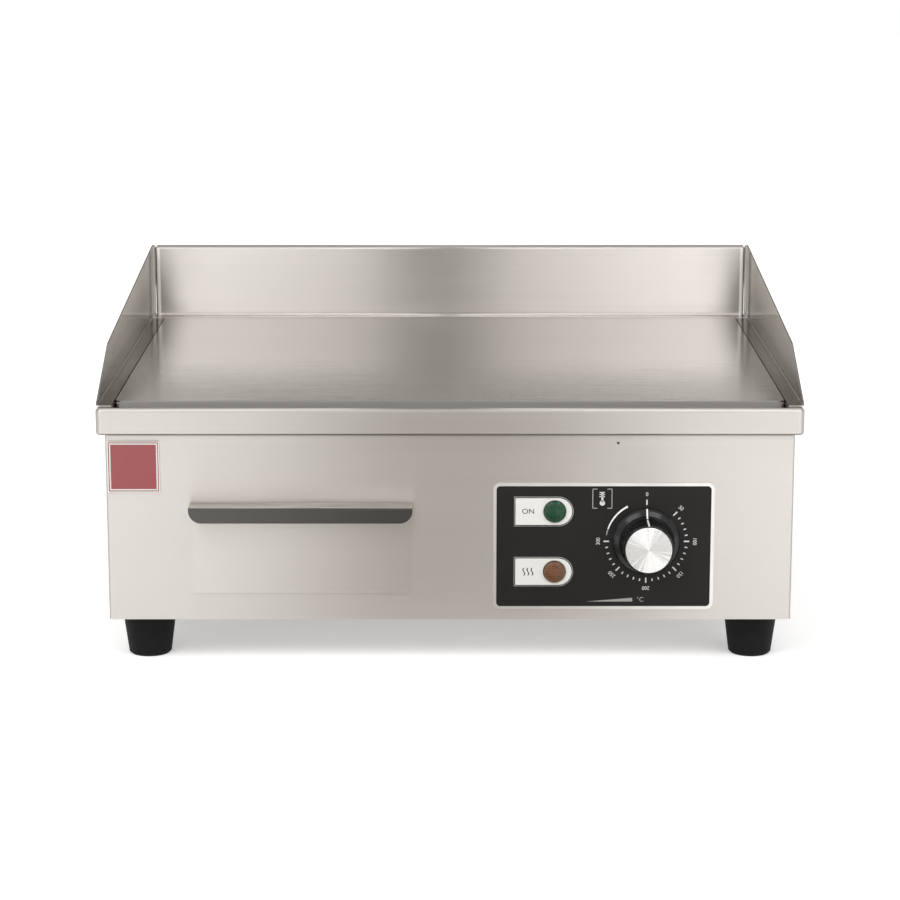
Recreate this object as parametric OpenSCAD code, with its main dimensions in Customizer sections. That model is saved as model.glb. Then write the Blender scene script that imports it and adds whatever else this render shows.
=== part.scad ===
// Countertop electric griddle: a steel cooking plate in a folded sheet-metal deck with
// splash guards, over a box body with a grease drawer, a thermostat and two indicator lamps.
// The front faces -Y and the feet stand on Z = 0.

/* [Deck] */
// Overall width across the rail
deck_w = 550; // [480:1:640]
// Overall depth of the rail
deck_d = 440; // [400:1:500]
// Thickness of the deck and guard sheet
sheet_t = 1.2; // [1:0.1:1.5]
// Height of the rail's outer face
rail_h = 21; // [18:1:30]
// Inside radius of the rail's rolled top edge
fold_r = 1.8; // [1.4:0.1:2.4]
// Inside radius of the other bends in the deck
bend_r = 1; // [0.8:0.1:1.3]
// Radius of the rail's upright corners
rail_corner_r = 4.5; // [4.2:0.1:8]
// Width of the inward lip along the bottom of the rail
drip_w = 3.6; // [3.2:0.1:4]
// Width of the flat on top of the front rail's roll
rail_flat = 1; // [0.5:0.1:4]
// Width of the grease gutter
gutter_w = 18; // [16:1:26]
// Depth of the gutter's floor below the plate's underside
gutter_step = 4.2; // [4:0.1:12]
// Width of the side flange from the rail's face to the plate's edge
flange_w = 12; // [10:0.5:18]
// Width of the ledge under the plate's edge
ledge_w = 14; // [10:1:20]

/* [Guards] */
// Height of the guards and splash above the rail, at the back
guard_back_h = 65.1; // [50:1:100]
// Height of the side guards above the rail, at their bend
guard_front_h = 35.8; // [25:1:48]
// Distance of the side guards' bend from the rail's face
guard_bend_d = 86.5; // [60:1:150]
// Depth of the boxed back splash
splash_box = 12; // [8:0.5:20]
// Depth of the folded lip behind the splash
splash_lip = 12; // [8:0.5:18]
// Width of the open seam between the splash and each guard
seam_gap = 0.9; // [0.5:0.1:1]
// Inside radius of the bends at the foot of the guards
guard_r = 1.6; // [1:0.1:2]

/* [Cooking plate] */
// Thickness of the cooking plate
plate_t = 8; // [6:0.5:12]
// Gap between the plate's edge and the flange round it
plate_gap = 0.3; // [0.2:0.1:0.6]
// Chamfer along the plate's top edges
plate_edge = 0.6; // [0.3:0.1:1.5]
// Chamfer along the plate's bottom edges
plate_relief = 1.8; // [1.5:0.1:2.5]
// Radius of the plate's front corners
plate_corner_r = 8; // [4:0.5:12]

/* [Body] */
// Height of the body below the rail
body_h = 150; // [140:1:190]
// Sheet thickness of the body
body_t = 1; // [0.8:0.1:1.5]
// Set-back of the body's front from the rail's face
front_inset = 7.8; // [6:0.1:10]
// Set-back of the body's sides from the rail's face
side_inset = 6.2; // [5:0.1:9]
// Set-back of the rear panel from the rail's back face
rear_inset = 7.8; // [6:0.1:12]
// Inside radius of the body's bends
body_r = 1.5; // [1:0.1:2]
// Width of the body's inward flanges
body_flange = 13; // [11:0.5:16]
// Height of the base tray's upturned edge
tray_lip = 15; // [10:1:18]

/* [Feet] */
// Height of a rubber foot
foot_h = 37; // [30:1:60]
// Diameter of a foot where it meets the base
foot_top_d = 45; // [38:1:50]
// Diameter of a foot where it stands
foot_bottom_d = 34; // [28:1:36]
// Distance of the feet's centres from the rail's sides
foot_side = 34; // [32:1:50]
// Distance of the feet's centres from the rail's front and back faces
foot_end = 45; // [38:1:70]
// Diameter of the foot bolts
foot_bolt_d = 6; // [5:1:8]

/* [Grease drawer] */
// Width of the drawer's front
drawer_w = 171; // [120:1:190]
// Height of the drawer's front
drawer_h = 73; // [56:1:80]
// Centre of the drawer, left of the middle of the body
drawer_left = 116.3; // [112:0.5:130]
// Height of the drawer above the bottom of the body
drawer_up = 21.9; // [18:0.5:30]
// Depth of the drawer's tray
drawer_d = 230; // [160:1:300]
// How far the drawer's front laps over the body round its opening
drawer_lap = 2; // [1.5:0.1:3]
// Distance from the edge of the drawer's front to the tray's wall
tray_inset = 7; // [6.5:0.1:12]
// Width of the tray's outward rim
rim_w = 4; // [2:0.1:4]
// Width of a runner's foot and ledge
runner_w = 12; // [8:0.5:20]
// Height of the runner's web and stop above the tray's bottom
runner_h = 15; // [10:0.5:24]
// Distance from the body's front to the runners
runner_start = 12; // [6:1:30]
// Thickness of a runner's end stop
stop_t = 2; // [1:0.5:3]
// How far the handle stands out from the body
handle_out = 18; // [14:1:26]
// Height of the handle's turned-down lip
handle_lip = 12.7; // [9:0.1:18]
// How much wider the handle is than the drawer's front, each side
handle_over = 1.6; // [0.5:0.1:3]
// Radius of the lip's lower corners
handle_r = 10; // [3:0.5:12]
// Height of the tray's walls below the top of the drawer's front
tray_drop = 11; // [8:1:24]

/* [Controls] */
// Width of the control plate
panel_w = 168; // [160:1:190]
// Height of the control plate
panel_h = 97; // [92:1:110]
// Centre of the control plate, right of the middle of the body
panel_right = 120.4; // [110:0.5:132]
// Centre of the control plate above the bottom of the body
panel_up = 59.5; // [56:0.5:75]
// Thickness of the control plate
panel_t = 1; // [0.8:0.1:2]
// Width of the trim frame round the control plate
trim_w = 2.6; // [1.5:0.1:4]
// Thickness of the trim frame
trim_t = 0.8; // [0.5:0.1:1.5]
// Centre of the dial from the control plate's centre, to the right
dial_right = 33.6; // [28:0.5:40]
// Centre of the dial above the control plate's centre
dial_up = 4.2; // [0:0.5:8]
// Width of a lamp tag
tag_w = 46.4; // [40:0.2:56]
// Height of a lamp tag
tag_h = 23.5; // [22:0.5:28]
// Thickness of a lamp tag
tag_t = 0.8; // [0.5:0.1:1.5]
// Distance from the control plate's left edge to a tag
tag_edge = 13.8; // [8:0.2:18]
// Height between the two lamps
lamp_pitch = 48.6; // [40:0.2:56]
// Centre of the pair of lamps above the control plate's centre
lamp_up = 4.1; // [0:0.1:6]
// Diameter of a lamp's lens
lens_d = 17; // [12:0.5:19]
// Height of a lamp's domed lens
lens_h = 4; // [2:0.5:7]
// Diameter of a lamp's body
lamp_d = 11; // [8:0.5:12]
// Length of a lamp's body behind the body's front
lamp_l = 24; // [16:1:40]
// How far a lamp sits in from the centre of its tag's round end
lamp_in = 2.8; // [0:0.1:4]
// Side of the square badge
badge_w = 40.5; // [30:0.5:46]
// Distance from the body's side to the badge
badge_edge = 1.8; // [1:0.2:10]
// Distance from the rail's lower edge to the badge
badge_drop = 6.2; // [3:0.2:20]
// Thickness of the badge
badge_t = 1; // [0.5:0.1:2]
// Place of the unused pilot hole, right of the control plate's centre
pilot_right = 10.6; // [0:0.1:40]
// Depth of the pilot hole's centre below the rail's lower edge
pilot_drop = 7.6; // [5:0.1:14]

/* [Knob] */
// Diameter of the knob's skirt
skirt_d = 53; // [46:1:56]
// Diameter of the knob's grip
grip_d = 40; // [34:1:42]
// Diameter of the metal cap
cap_d = 36; // [24:1:37]
// How far the knob stands out from the body
knob_out = 30; // [24:1:36]
// Thickness of the metal cap
cap_t = 2; // [1:0.1:3]
// Diameter of the thermostat's shaft
shaft_d = 6; // [5:0.5:8]
// Width of the thermostat's housing
thermo_w = 36; // [30:1:44]
// Height of the thermostat's housing
thermo_h = 46; // [36:1:56]
// Depth of the thermostat's housing
thermo_d = 30; // [24:1:40]

/* [Heating] */
// Diameter of a tubular heating element
element_d = 8; // [6.5:0.5:10]
// Number of hairpin elements
element_rows = 3; // [2:1:4]
// Distance between the two legs of an element
element_pitch = 56; // [40:1:60]
// Distance from the plate's side to the start of an element's return bend
return_in = 45; // [40:1:60]
// Distance from the plate's side to the end of an element's straight legs
lead_in = 62; // [50:1:80]
// Bend radius of an element's leads
lead_r = 12; // [10:0.5:16]
// Gap round an element's leads in the heat shield and the insulation
lead_gap = 2; // [1.5:0.5:4]
// Length of an element's insulated end
terminal_l = 5; // [4:0.5:8]
// Diameter of the thermostat's bulb
bulb_d = 6; // [4:0.5:7]
// Length of the thermostat's bulb
bulb_l = 90; // [60:1:110]
// Diameter of the thermostat's capillary tube
capillary_d = 2.4; // [1.6:0.1:3]
// Diameter of the clamp studs
stud_d = 6; // [5:1:8]
// Distance between the clamp bars
clamp_pitch = 150; // [120:1:170]
// Width of a clamp bar
clamp_w = 24; // [16:1:30]
// How far a clamp bar reaches past the outer elements' legs
clamp_over = 12; // [8:1:16]
// Thickness of a clamp bar
clamp_t = 3; // [2:0.1:4]
// Depth of the heat shield below the plate's underside
shield_drop = 34; // [32:1:40]
// Height of the heat shield's upturned edges
shield_lip = 14; // [8:1:18]
// Distance from the body's back to the heat shield
shield_back = 14; // [10:1:24]
// Distance from the body's front to the heat shield
shield_front = 30; // [20:1:44]
// Thickness of the insulation
wool_t = 11; // [6:1:12]

/* [Rear] */
// Diameter of the cable gland's bore
gland_bore_d = 10; // [7:0.5:12]
// Diameter of the cable gland's thread
gland_d = 20; // [18:1:25]
// How far the cable gland stands out from the rear panel
gland_out = 26; // [20:1:36]
// How far the gland's hexagon stands out round its thread
gland_hex = 4; // [3:0.5:5]
// Length of the gland's thread inside the body
gland_tail = 10; // [8:1:14]
// Distance of the gland's centre from the body's right side
gland_side = 78.8; // [70:0.1:110]
// Centre of the gland above the bottom of the body
gland_up = 42; // [32:1:80]
// Diameter of the bonding stud
bond_d = 6; // [5:1:8]
// How far the bonding stud stands out from the rear panel
bond_out = 18; // [15:1:24]
// Distance of the bonding stud from the gland
bond_pitch = 40; // [30:1:50]
// Number of vent slots in a column
vent_rows = 6; // [3:1:8]
// Length of a vent slot
vent_l = 60; // [30:1:80]
// Height of a vent slot
vent_h = 5; // [3:0.5:6]
// Distance between vent slots
vent_pitch = 12; // [9:0.5:14]
// Height of the terminal block
block_h = 20; // [14:1:26]
// Depth of the terminal block
block_d = 26; // [20:1:34]
// Width of one way of the terminal block
block_pitch = 18; // [14:1:22]
// Distance from the rear panel to the terminal block
block_back = 44; // [30:1:60]

/* [Hidden] */
$fn = 64;
bend_steps = 6;
touch = 0.1;          // gap where a round piece lies on a flat one
fit = 0.05;           // radial clearance of the shaft in its bush and of a thread in its nut
hole_fit = 0.2;       // radial clearance of a piece that passes through a sheet
slide_gap = 0.3;      // gap between the drawer and its runners

// Levels
z_body = foot_h;
z_rail_low = z_body + body_h;
z_rail = z_rail_low + rail_h;
z_plate = z_rail + sheet_t;
z_seat = z_plate - plate_t;
z_gutter = z_seat - gutter_step;
z_guard = z_rail + guard_back_h;
z_front_top = z_gutter - sheet_t;
z_side_top = z_seat - sheet_t;

// Plan
half_w = deck_w / 2;
body_half = half_w - side_inset;
front_reach = max(knob_out, handle_out) - front_inset;
rear_reach = max(gland_out, bond_out) - rear_inset;
y_rail = (front_reach - deck_d - rear_reach) / 2;
y_back = y_rail + deck_d;
roll_w = 2 * (fold_r + sheet_t) + rail_flat;
y_splash = y_back - splash_box;
back_flange = flange_w + splash_box;
y_plate_front = y_rail + roll_w + gutter_w;
y_plate_back = y_back - back_flange - plate_gap;
plate_half = half_w - flange_w - plate_gap;
plate_d = y_plate_back - y_plate_front;
y_ledge = y_plate_front + ledge_w;
y_front_weld = y_plate_front + 2;
trough_half = half_w - flange_w;
side_weld = half_w - flange_w - ledge_w - 2;
y_front = y_rail + front_inset;
y_rear = y_back - rear_inset;
inner_half = body_half - body_t;
y_inner = y_front + body_t;
y_inner_back = y_rear - body_t;

// Controls
panel_z = z_body + panel_up;
dial_x = panel_right + dial_right;
dial_z = panel_z + dial_up;
y_panel = y_front - panel_t;
y_tag = y_panel - tag_t;
tag_left = panel_right - panel_w / 2 + tag_edge;
lamp_x = tag_left + tag_w - tag_h / 2 - lamp_in;
lamp_z = [panel_z + lamp_up + lamp_pitch / 2, panel_z + lamp_up - lamp_pitch / 2];
bush_r = shaft_d / 2 + 2;
shaft_out = knob_out - cap_t - 7;

// Drawer
drawer_x = -drawer_left;
drawer_z = z_body + drawer_up;
drawer_top = drawer_z + drawer_h;
box_w = drawer_w - 2 * tray_inset;
box_low = drawer_z + drawer_lap + 1;
box_top = drawer_top - tray_drop;
y_box = y_front - slide_gap;
y_face = y_box - body_t;
y_box_back = y_box + drawer_d;
drain_r = 5;
y_drain = y_rail + roll_w + gutter_w / 2;
spout_gap = 6;

// Heating
z_element = z_seat - touch - element_d / 2;
z_clamp = z_element - element_d / 2 - touch;
nut_t = 5;
element_left = plate_half - return_in;
element_right = plate_half - lead_in;
z_shield = z_seat - shield_drop;
y_shield_front = y_front + shield_front;
y_shield_back = y_rear - shield_back;
terminal_low = z_shield - shield_lip;
row_y = [for (k = [0:element_rows - 1]) y_plate_front + plate_d * (k + 0.5) / element_rows];
stud_y = [for (k = [1:element_rows - 1]) y_plate_front + plate_d * k / element_rows];
clamp_x = [for (k = [-1:1]) k * clamp_pitch];
terminal_x = element_right + lead_r;
bulb_x = bulb_l / 6;
bulb_row = floor(element_rows / 2);
z_bulb = z_seat - touch - bulb_d / 2;

// Rear
gland_x = body_half - gland_side;
gland_z = z_body + gland_up;
bond_x = gland_x + bond_pitch;

// A bent sheet's outline. The path follows one face and the sheet lies on its left.
function unit(v) = v / norm(v);
function left_of(v) = [-v[1], v[0]];
function turn(a, b) = atan2(a[0] * b[1] - a[1] * b[0], a * b);
function reverse(v) = [for (i = [len(v) - 1:-1:0]) v[i]];
function bend(p, i, t, r, side) =
    let (u = unit(p[i] - p[i - 1]), phi = turn(u, unit(p[i + 1] - p[i])), s = sign(phi))
    let (face_r = s > 0 ? r + t : r, start = atan2(u[1], u[0]))
    let (c = p[i] + (left_of(u) * s - u * tan(abs(phi) / 2)) * face_r)
    [for (k = [0:bend_steps])
        let (a = start + phi * k / bend_steps) c + [sin(a), -cos(a)] * s * (face_r - s * side)];
function face(p, t, r, side) =
    let (last = len(p) - 1)
    concat([p[0] + left_of(unit(p[1] - p[0])) * side],
        [for (i = [1:last - 1]) each bend(p, i, t, is_list(r) ? r[i] : r, side)],
        [p[last] + left_of(unit(p[last] - p[last - 1])) * side]);

module sheet(path, t, r) {
    polygon(concat(face(path, t, r, 0), reverse(face(path, t, r, t))));
}

// Places a drawing of Y and Z along X, and one of X and Z along Y.
module along_x(x0, x1) {
    translate([x0, 0, 0]) rotate([90, 0, 90]) linear_extrude(x1 - x0) children();
}

module along_y(y0, y1) {
    translate([0, y1, 0]) rotate([90, 0, 0]) linear_extrude(y1 - y0) children();
}

module both_sides() {
    children();
    mirror([1, 0, 0]) children();
}

module block(low, high) {
    translate(low) cube(high - low);
}

// A round bar or hole along Y, from y0 to y1
module rod_y(x, z, r, y0, y1) {
    translate([x, y1, z]) rotate([90, 0, 0]) cylinder(h = y1 - y0, r = r);
}

// Turns a drawing of radius and outward distance round a line along Y that starts at y.
module turned_y(x, y, z) {
    translate([x, y, z]) rotate([90, 0, 0]) rotate_extrude() children();
}

module rounded_rect(w, h, r) {
    square([w - 2 * r, h], center = true);
    square([w, h - 2 * r], center = true);
    for (i = [-1, 1], j = [-1, 1]) translate([i * (w / 2 - r), j * (h / 2 - r)]) circle(r);
}

module slot(l, h) {
    square([l - h, h], center = true);
    for (i = [-1, 1]) translate([i * (l - h) / 2, 0]) circle(h / 2);
}

// A tube along a route, swept with rings that lie across each corner
module tube(route, r, sides = 10) {
    last = len(route) - 1;
    ring_points = [for (i = [0:last])
        let (along = unit(route[min(i + 1, last)] - route[max(i - 1, 0)]))
        let (n = unit(cross(along, [1, 1, 1])), b = cross(along, n))
        for (k = [0:sides - 1]) route[i] + r * (n * cos(360 * k / sides) + b * sin(360 * k / sides))];
    walls = [for (i = [0:last - 1], k = [0:sides - 1])
        let (a = i * sides + k, b = i * sides + (k + 1) % sides) [a, b, b + sides, a + sides]];
    ends = [reverse([for (k = [0:sides - 1]) k]), [for (k = [0:sides - 1]) last * sides + k]];
    polyhedron(ring_points, concat(walls, ends), convexity = 6);
}

// The plate's plan, with its front corners rounded and its front edge on Y = 0
module plate_plan(r) {
    translate([-plate_half - 1, r]) square([2 * plate_half + 2, plate_d]);
    translate([r - plate_half, -1]) square([2 * (plate_half - r), r + 2]);
    for (x = [r - plate_half, plate_half - r]) translate([x, r]) circle(r);
}

module griddle_plate() {
    function edges(a0, a1) = [
        [a0, z_seat + plate_relief], [a0 + plate_relief, z_seat],
        [a1 - plate_relief, z_seat], [a1, z_seat + plate_relief],
        [a1, z_plate - plate_edge], [a1 - plate_edge, z_plate],
        [a0 + plate_edge, z_plate], [a0, z_plate - plate_edge]];
    color("silver") intersection() {
        along_x(-plate_half, plate_half) polygon(edges(y_plate_front, y_plate_back));
        along_y(y_plate_front, y_plate_back) polygon(edges(-plate_half, plate_half));
        translate([0, y_plate_front, z_seat - 1]) linear_extrude(plate_t + 2) plate_plan(plate_corner_r);
    }
}

// The rail's section on a side whose outer face is at 0: ledge, flange, face and lip
function rail_path(flange) = [[flange + ledge_w, z_seat], [flange, z_seat], [flange, z_rail],
    [0, z_rail], [0, z_rail_low], [drip_w, z_rail_low]];

function roll_path(low) = [[roll_w, low], [roll_w, z_rail], [0, z_rail], [0, z_rail_low],
    [drip_w, z_rail_low]];

module rail_corner() {
    corner = [[rail_corner_r - drip_w, z_rail_low], [rail_corner_r, z_rail_low],
        [rail_corner_r, z_rail], [0, z_rail]];
    rotate([0, 0, 180]) rotate_extrude(angle = 90) sheet(corner, sheet_t, [0, bend_r, fold_r, 0]);
}

// The rails' sheet all round: the rolled front, the sides and the back
module deck() {
    side_front = [[flange_w, z_gutter - sheet_t], [flange_w, z_rail], [0, z_rail],
        [0, z_rail_low], [drip_w, z_rail_low]];
    inner = half_w - rail_corner_r;
    radii = [0, bend_r, bend_r, fold_r, bend_r, 0];
    translate([0, y_rail, 0]) along_x(-inner, inner)
        sheet(roll_path(z_gutter - sheet_t), sheet_t, [0, fold_r, fold_r, bend_r, 0]);
    both_sides() translate([-half_w, 0, 0]) {
        along_y(y_ledge, y_back - rail_corner_r) sheet(rail_path(flange_w), sheet_t, radii);
        along_y(y_rail + rail_corner_r, y_ledge) sheet(side_front, sheet_t, [0, bend_r, fold_r, bend_r, 0]);
        translate([rail_corner_r, y_rail + rail_corner_r, 0]) rail_corner();
        translate([rail_corner_r, y_back - rail_corner_r, 0]) mirror([0, 1, 0]) rail_corner();
    }
    translate([0, y_back, 0]) mirror([0, 1, 0])
        along_x(-inner, inner) sheet(rail_path(back_flange), sheet_t, radii);
}

// One rail: the deck between two corners of a box that meets its neighbours at the welds
module deck_part(low, high) {
    color("gainsboro") intersection() {
        deck();
        block([low[0], low[1], z_gutter - 40], [high[0], high[1], z_rail + 1]);
    }
}

module front_rail() {
    deck_part([-half_w, y_rail], [half_w, y_front_weld]);
}

module left_rail() {
    deck_part([-half_w, y_front_weld], [-side_weld, y_back]);
}

module right_rail() {
    deck_part([side_weld, y_front_weld], [half_w, y_back]);
}

module rear_rail() {
    deck_part([-side_weld, y_plate_back - 2 * ledge_w], [side_weld, y_back]);
}

// The gutter's floor, welded between the rail and the seat, with the drain hole
module gutter_floor() {
    color("gainsboro") difference() {
        block([-trough_half, y_rail + roll_w, z_gutter - sheet_t], [trough_half, y_plate_front, z_gutter]);
        translate([drawer_x, y_drain, z_gutter - 2 * sheet_t]) cylinder(h = 3 * sheet_t, r = drain_r);
    }
}

// The ledge that carries the plate's front edge and closes the gutter
module front_seat() {
    path = [[y_ledge, z_seat], [y_plate_front, z_seat], [y_plate_front, z_gutter - sheet_t]];
    color("gainsboro") along_x(-trough_half, trough_half) sheet(path, sheet_t, [0, bend_r, 0]);
}

module back_splash() {
    path = [[y_back, z_guard - splash_lip], [y_back, z_guard], [y_splash, z_guard],
        [y_splash, z_plate], [y_splash - flange_w + sheet_t, z_plate]];
    bend_w = guard_r + sheet_t;
    end = half_w - bend_w - seam_gap;
    edge = end - bend_w;
    side = [[bend_w, z_guard], [0, z_guard], [0, z_rail]];
    corner = [[bend_w, z_rail], [bend_w, z_guard], [0, z_guard]];
    color("gainsboro") {
        along_x(-edge, edge) sheet(path, sheet_t, [0, bend_r, bend_r, guard_r, 0]);
        both_sides() {
            translate([-end, 0, 0]) along_y(y_splash + bend_w, y_back) sheet(side, sheet_t, bend_r);
            translate([-edge, y_splash + bend_w, 0]) rotate([0, 0, 180])
                rotate_extrude(angle = 90, $fn = 4 * bend_steps) sheet(corner, sheet_t, bend_r);
        }
    }
}

// A side guard: a foot beside the plate, the wall and an upright strip that closes its seam with the splash
module guard() {
    y0 = y_rail + roll_w;
    strip_w = sheet_t / 2 + guard_r;
    strip_low = z_plate + guard_r;
    section = [[flange_w, z_plate], [sheet_t, z_plate], [sheet_t, z_guard]];
    outline = [[y0, z_rail], [y0, z_plate + sheet_t], [y_rail + guard_bend_d, z_rail + guard_front_h],
        [y_splash, z_guard], [y_back, z_guard], [y_back, z_rail]];
    color("gainsboro") intersection() {
        translate([-half_w, 0, 0]) along_y(y0, y_back) sheet(section, sheet_t, guard_r);
        along_x(-half_w, -half_w + sheet_t + guard_r) polygon(outline);
    }
    color("gainsboro") translate([-half_w + sheet_t, y_splash, strip_low])
        linear_extrude(z_guard - strip_low - sheet_t / 2) difference() {
            translate([-sheet_t / 2, -guard_r]) square([strip_w, guard_r + splash_box]);
            translate([guard_r, -guard_r]) circle(guard_r - 0.2);
        }
    color("gainsboro") block([-half_w + sheet_t + guard_r, y0, z_rail],
        [-half_w + flange_w, y_splash - flange_w + sheet_t, z_plate]);
}

module left_guard() {
    guard();
}

module right_guard() {
    mirror([1, 0, 0]) guard();
}

module drain_spout() {
    top = z_gutter - sheet_t;
    low = box_top + spout_gap;
    color("gainsboro") translate([drawer_x, y_drain, 0]) rotate_extrude()
        polygon([[drain_r, low], [drain_r + 1, low], [drain_r + 1, top - 1], [drain_r + 3, top - 1],
            [drain_r + 3, top], [drain_r, top]]);
}

module body_shell() {
    bend_w = body_r + body_t;
    edge = body_half - bend_w;
    front = [[body_flange, z_front_top], [0, z_front_top], [0, z_body]];
    side = [[body_flange, z_side_top], [0, z_side_top], [0, z_body]];
    corner = [[0, bend_w], [0, 0], [bend_w, 0]];
    rear_return = [[0, body_t + bend_w], [0, body_t], [body_flange, body_t]];
    color("gainsboro") difference() {
        union() {
            translate([0, y_front, 0]) along_x(-edge, edge) sheet(front, body_t, body_r);
            both_sides() translate([-body_half, 0, 0]) {
                along_y(y_front + bend_w, y_rear - body_t - bend_w) sheet(side, body_t, body_r);
                translate([0, y_front, z_body]) linear_extrude(z_front_top - bend_w - z_body)
                    sheet(corner, body_t, body_r);
                translate([0, y_rear, z_body]) mirror([0, 1, 0])
                    linear_extrude(z_side_top - bend_w - z_body) sheet(rear_return, body_t, body_r);
            }
        }
        block([drawer_x - drawer_w / 2 + drawer_lap, y_front - 1, drawer_z + drawer_lap],
            [drawer_x + drawer_w / 2 - drawer_lap, y_inner + 1, drawer_top - drawer_lap]);
        rod_y(dial_x, dial_z, bush_r + hole_fit, y_front - 1, y_inner + 1);
        for (z = lamp_z) rod_y(lamp_x, z, lamp_d / 2 + hole_fit, y_front - 1, y_inner + 1);
        rod_y(panel_right + pilot_right, z_rail_low - pilot_drop, 1, y_front - 1, y_inner + 1);
        translate([drawer_x, y_drain, z_front_top - 2]) cylinder(h = 3, r = drain_r + 4);
        block([-half_w, y_rail, z_front_top], [half_w, y_ledge + bend_r, z_seat]);
    }
}

module vents(columns) {
    for (x = columns, k = [0:vent_rows - 1])
        translate([x, (k - (vent_rows - 1) / 2) * vent_pitch]) slot(vent_l, vent_h);
}

module rear_panel() {
    z_mid = (z_body + z_side_top) / 2;
    color("gainsboro") difference() {
        block([-body_half, y_inner_back, z_body], [body_half, y_rear, z_side_top]);
        translate([0, 0, z_mid]) along_y(y_inner_back - 1, y_rear + 1)
            vents([-vent_l * 2.4, -vent_l * 0.8, vent_l * 0.8]);
        rod_y(gland_x, gland_z, gland_d / 2 + 0.1, y_inner_back - 1, y_rear + 1);
        rod_y(bond_x, gland_z, bond_d / 2 + 0.1, y_inner_back - 1, y_rear + 1);
    }
}

module at_feet() {
    for (x = [-1, 1], y = [y_rail + foot_end, y_back - foot_end])
        translate([x * (half_w - foot_side), y, 0]) children();
}

module base_tray() {
    bend_w = body_r + body_t;
    low = z_body + tray_lip;
    across = [[-inner_half, low], [-inner_half, z_body], [inner_half, z_body], [inner_half, low]];
    along = [[y_inner, low], [y_inner, z_body], [y_inner_back - body_t, z_body],
        [y_inner_back - body_t, low]];
    color("gainsboro") difference() {
        union() {
            along_y(y_inner + bend_w, y_inner_back - body_t - bend_w) sheet(across, body_t, body_r);
            along_x(-inner_half + bend_w, inner_half - bend_w) sheet(along, body_t, body_r);
        }
        translate([0, 0, z_body - 1]) linear_extrude(body_t + 2)
            vents([-vent_l * 1.8, -vent_l * 0.6, vent_l * 0.6, vent_l * 1.8]);
        at_feet() translate([0, 0, z_body - 1]) cylinder(h = body_t + 2, r = foot_bolt_d / 2 + hole_fit);
    }
}

module foot(side, y) {
    hole = foot_bolt_d / 2 + hole_fit;
    recess = foot_h * 0.3;
    washer = foot_bolt_d + 4;
    top = foot_top_d / 2;
    color("#161616") translate([side * (half_w - foot_side), y, 0]) rotate_extrude()
        polygon([[hole, recess], [washer, recess], [washer, 0], [foot_bottom_d / 2 - 1.5, 0],
            [foot_bottom_d / 2, 1.5], [top - 1.2, foot_h - 3], [top, foot_h - 2.4], [top, foot_h],
            [hole, foot_h]]);
}

module foot_front_left() {
    foot(-1, y_rail + foot_end);
}

module foot_front_right() {
    foot(1, y_rail + foot_end);
}

module foot_rear_left() {
    foot(-1, y_back - foot_end);
}

module foot_rear_right() {
    foot(1, y_back - foot_end);
}

module foot_bolts() {
    recess = foot_h * 0.3;
    color("silver") at_feet() {
        translate([0, 0, recess]) cylinder(h = z_body + body_t + nut_t + 3 - recess, r = foot_bolt_d / 2);
        translate([0, 0, recess - 1.5]) cylinder(h = 1.5, r = foot_bolt_d + 2);
        translate([0, 0, recess - 5.5]) cylinder(h = 4, r = foot_bolt_d, $fn = 6);
    }
}

module foot_nuts() {
    color("silver") at_feet() translate([0, 0, z_body + body_t]) difference() {
        cylinder(h = nut_t, r = foot_bolt_d, $fn = 6);
        translate([0, 0, -1]) cylinder(h = nut_t + 2, r = foot_bolt_d / 2 + fit);
    }
}

// A hairpin's centre line: up from one terminal, along X, round the return bend and back down
function hairpin_half(y, side) = concat(
    [[terminal_x, y + side * element_pitch / 2, terminal_low + 6]],
    [for (a = [0:18:90]) [element_right + lead_r * cos(a), y + side * element_pitch / 2,
        z_element - lead_r * (1 - sin(a))]],
    [for (a = [0:18:72]) [-element_left - element_pitch / 2 * sin(a),
        y + side * element_pitch / 2 * cos(a), z_element]]);

function hairpin(y) = concat(hairpin_half(y, -1), [[-element_left - element_pitch / 2, y, z_element]],
    reverse(hairpin_half(y, 1)));

module at_terminals() {
    for (y = row_y, side = [-1, 1])
        translate([terminal_x, y + side * element_pitch / 2, 0]) children();
}

module heating_elements() {
    color("#5c5148") for (y = row_y) tube(hairpin(y), element_d / 2, 12);
}

module element_terminals() {
    color("ivory") at_terminals() {
        translate([0, 0, terminal_low + 1]) cylinder(h = terminal_l, r = element_d / 2 - 0.6);
        translate([0, 0, terminal_low - 7]) cylinder(h = 8, r = 2);
    }
}

module at_studs() {
    for (x = clamp_x, y = stud_y) translate([x, y, 0]) children();
}

module clamp_bars() {
    color("darkgray") difference() {
        for (x = clamp_x)
            block([x - clamp_w / 2, row_y[0] - element_pitch / 2 - clamp_over, z_clamp - clamp_t],
                [x + clamp_w / 2, row_y[element_rows - 1] + element_pitch / 2 + clamp_over, z_clamp]);
        at_studs() translate([0, 0, z_clamp - clamp_t - 1]) cylinder(h = clamp_t + 2, r = stud_d / 2 + 0.3);
    }
}

module clamp_studs() {
    low = z_clamp - clamp_t - nut_t - 1;
    color("silver") at_studs() translate([0, 0, low]) cylinder(h = z_seat - low, r = stud_d / 2);
}

module clamp_nuts() {
    color("silver") at_studs() translate([0, 0, z_clamp - clamp_t - nut_t]) difference() {
        cylinder(h = nut_t, r = stud_d, $fn = 6);
        translate([0, 0, -1]) cylinder(h = nut_t + 2, r = stud_d / 2 + fit);
    }
}

module heat_shield() {
    high = z_shield + shield_lip;
    path = [[-inner_half, high], [-inner_half, z_shield], [inner_half, z_shield], [inner_half, high]];
    color("lightgray") difference() {
        along_y(y_shield_front, y_shield_back) sheet(path, body_t, body_r);
        at_terminals() translate([0, 0, z_shield - 1]) cylinder(h = body_t + 2, r = element_d / 2 + lead_gap);
    }
}

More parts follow.
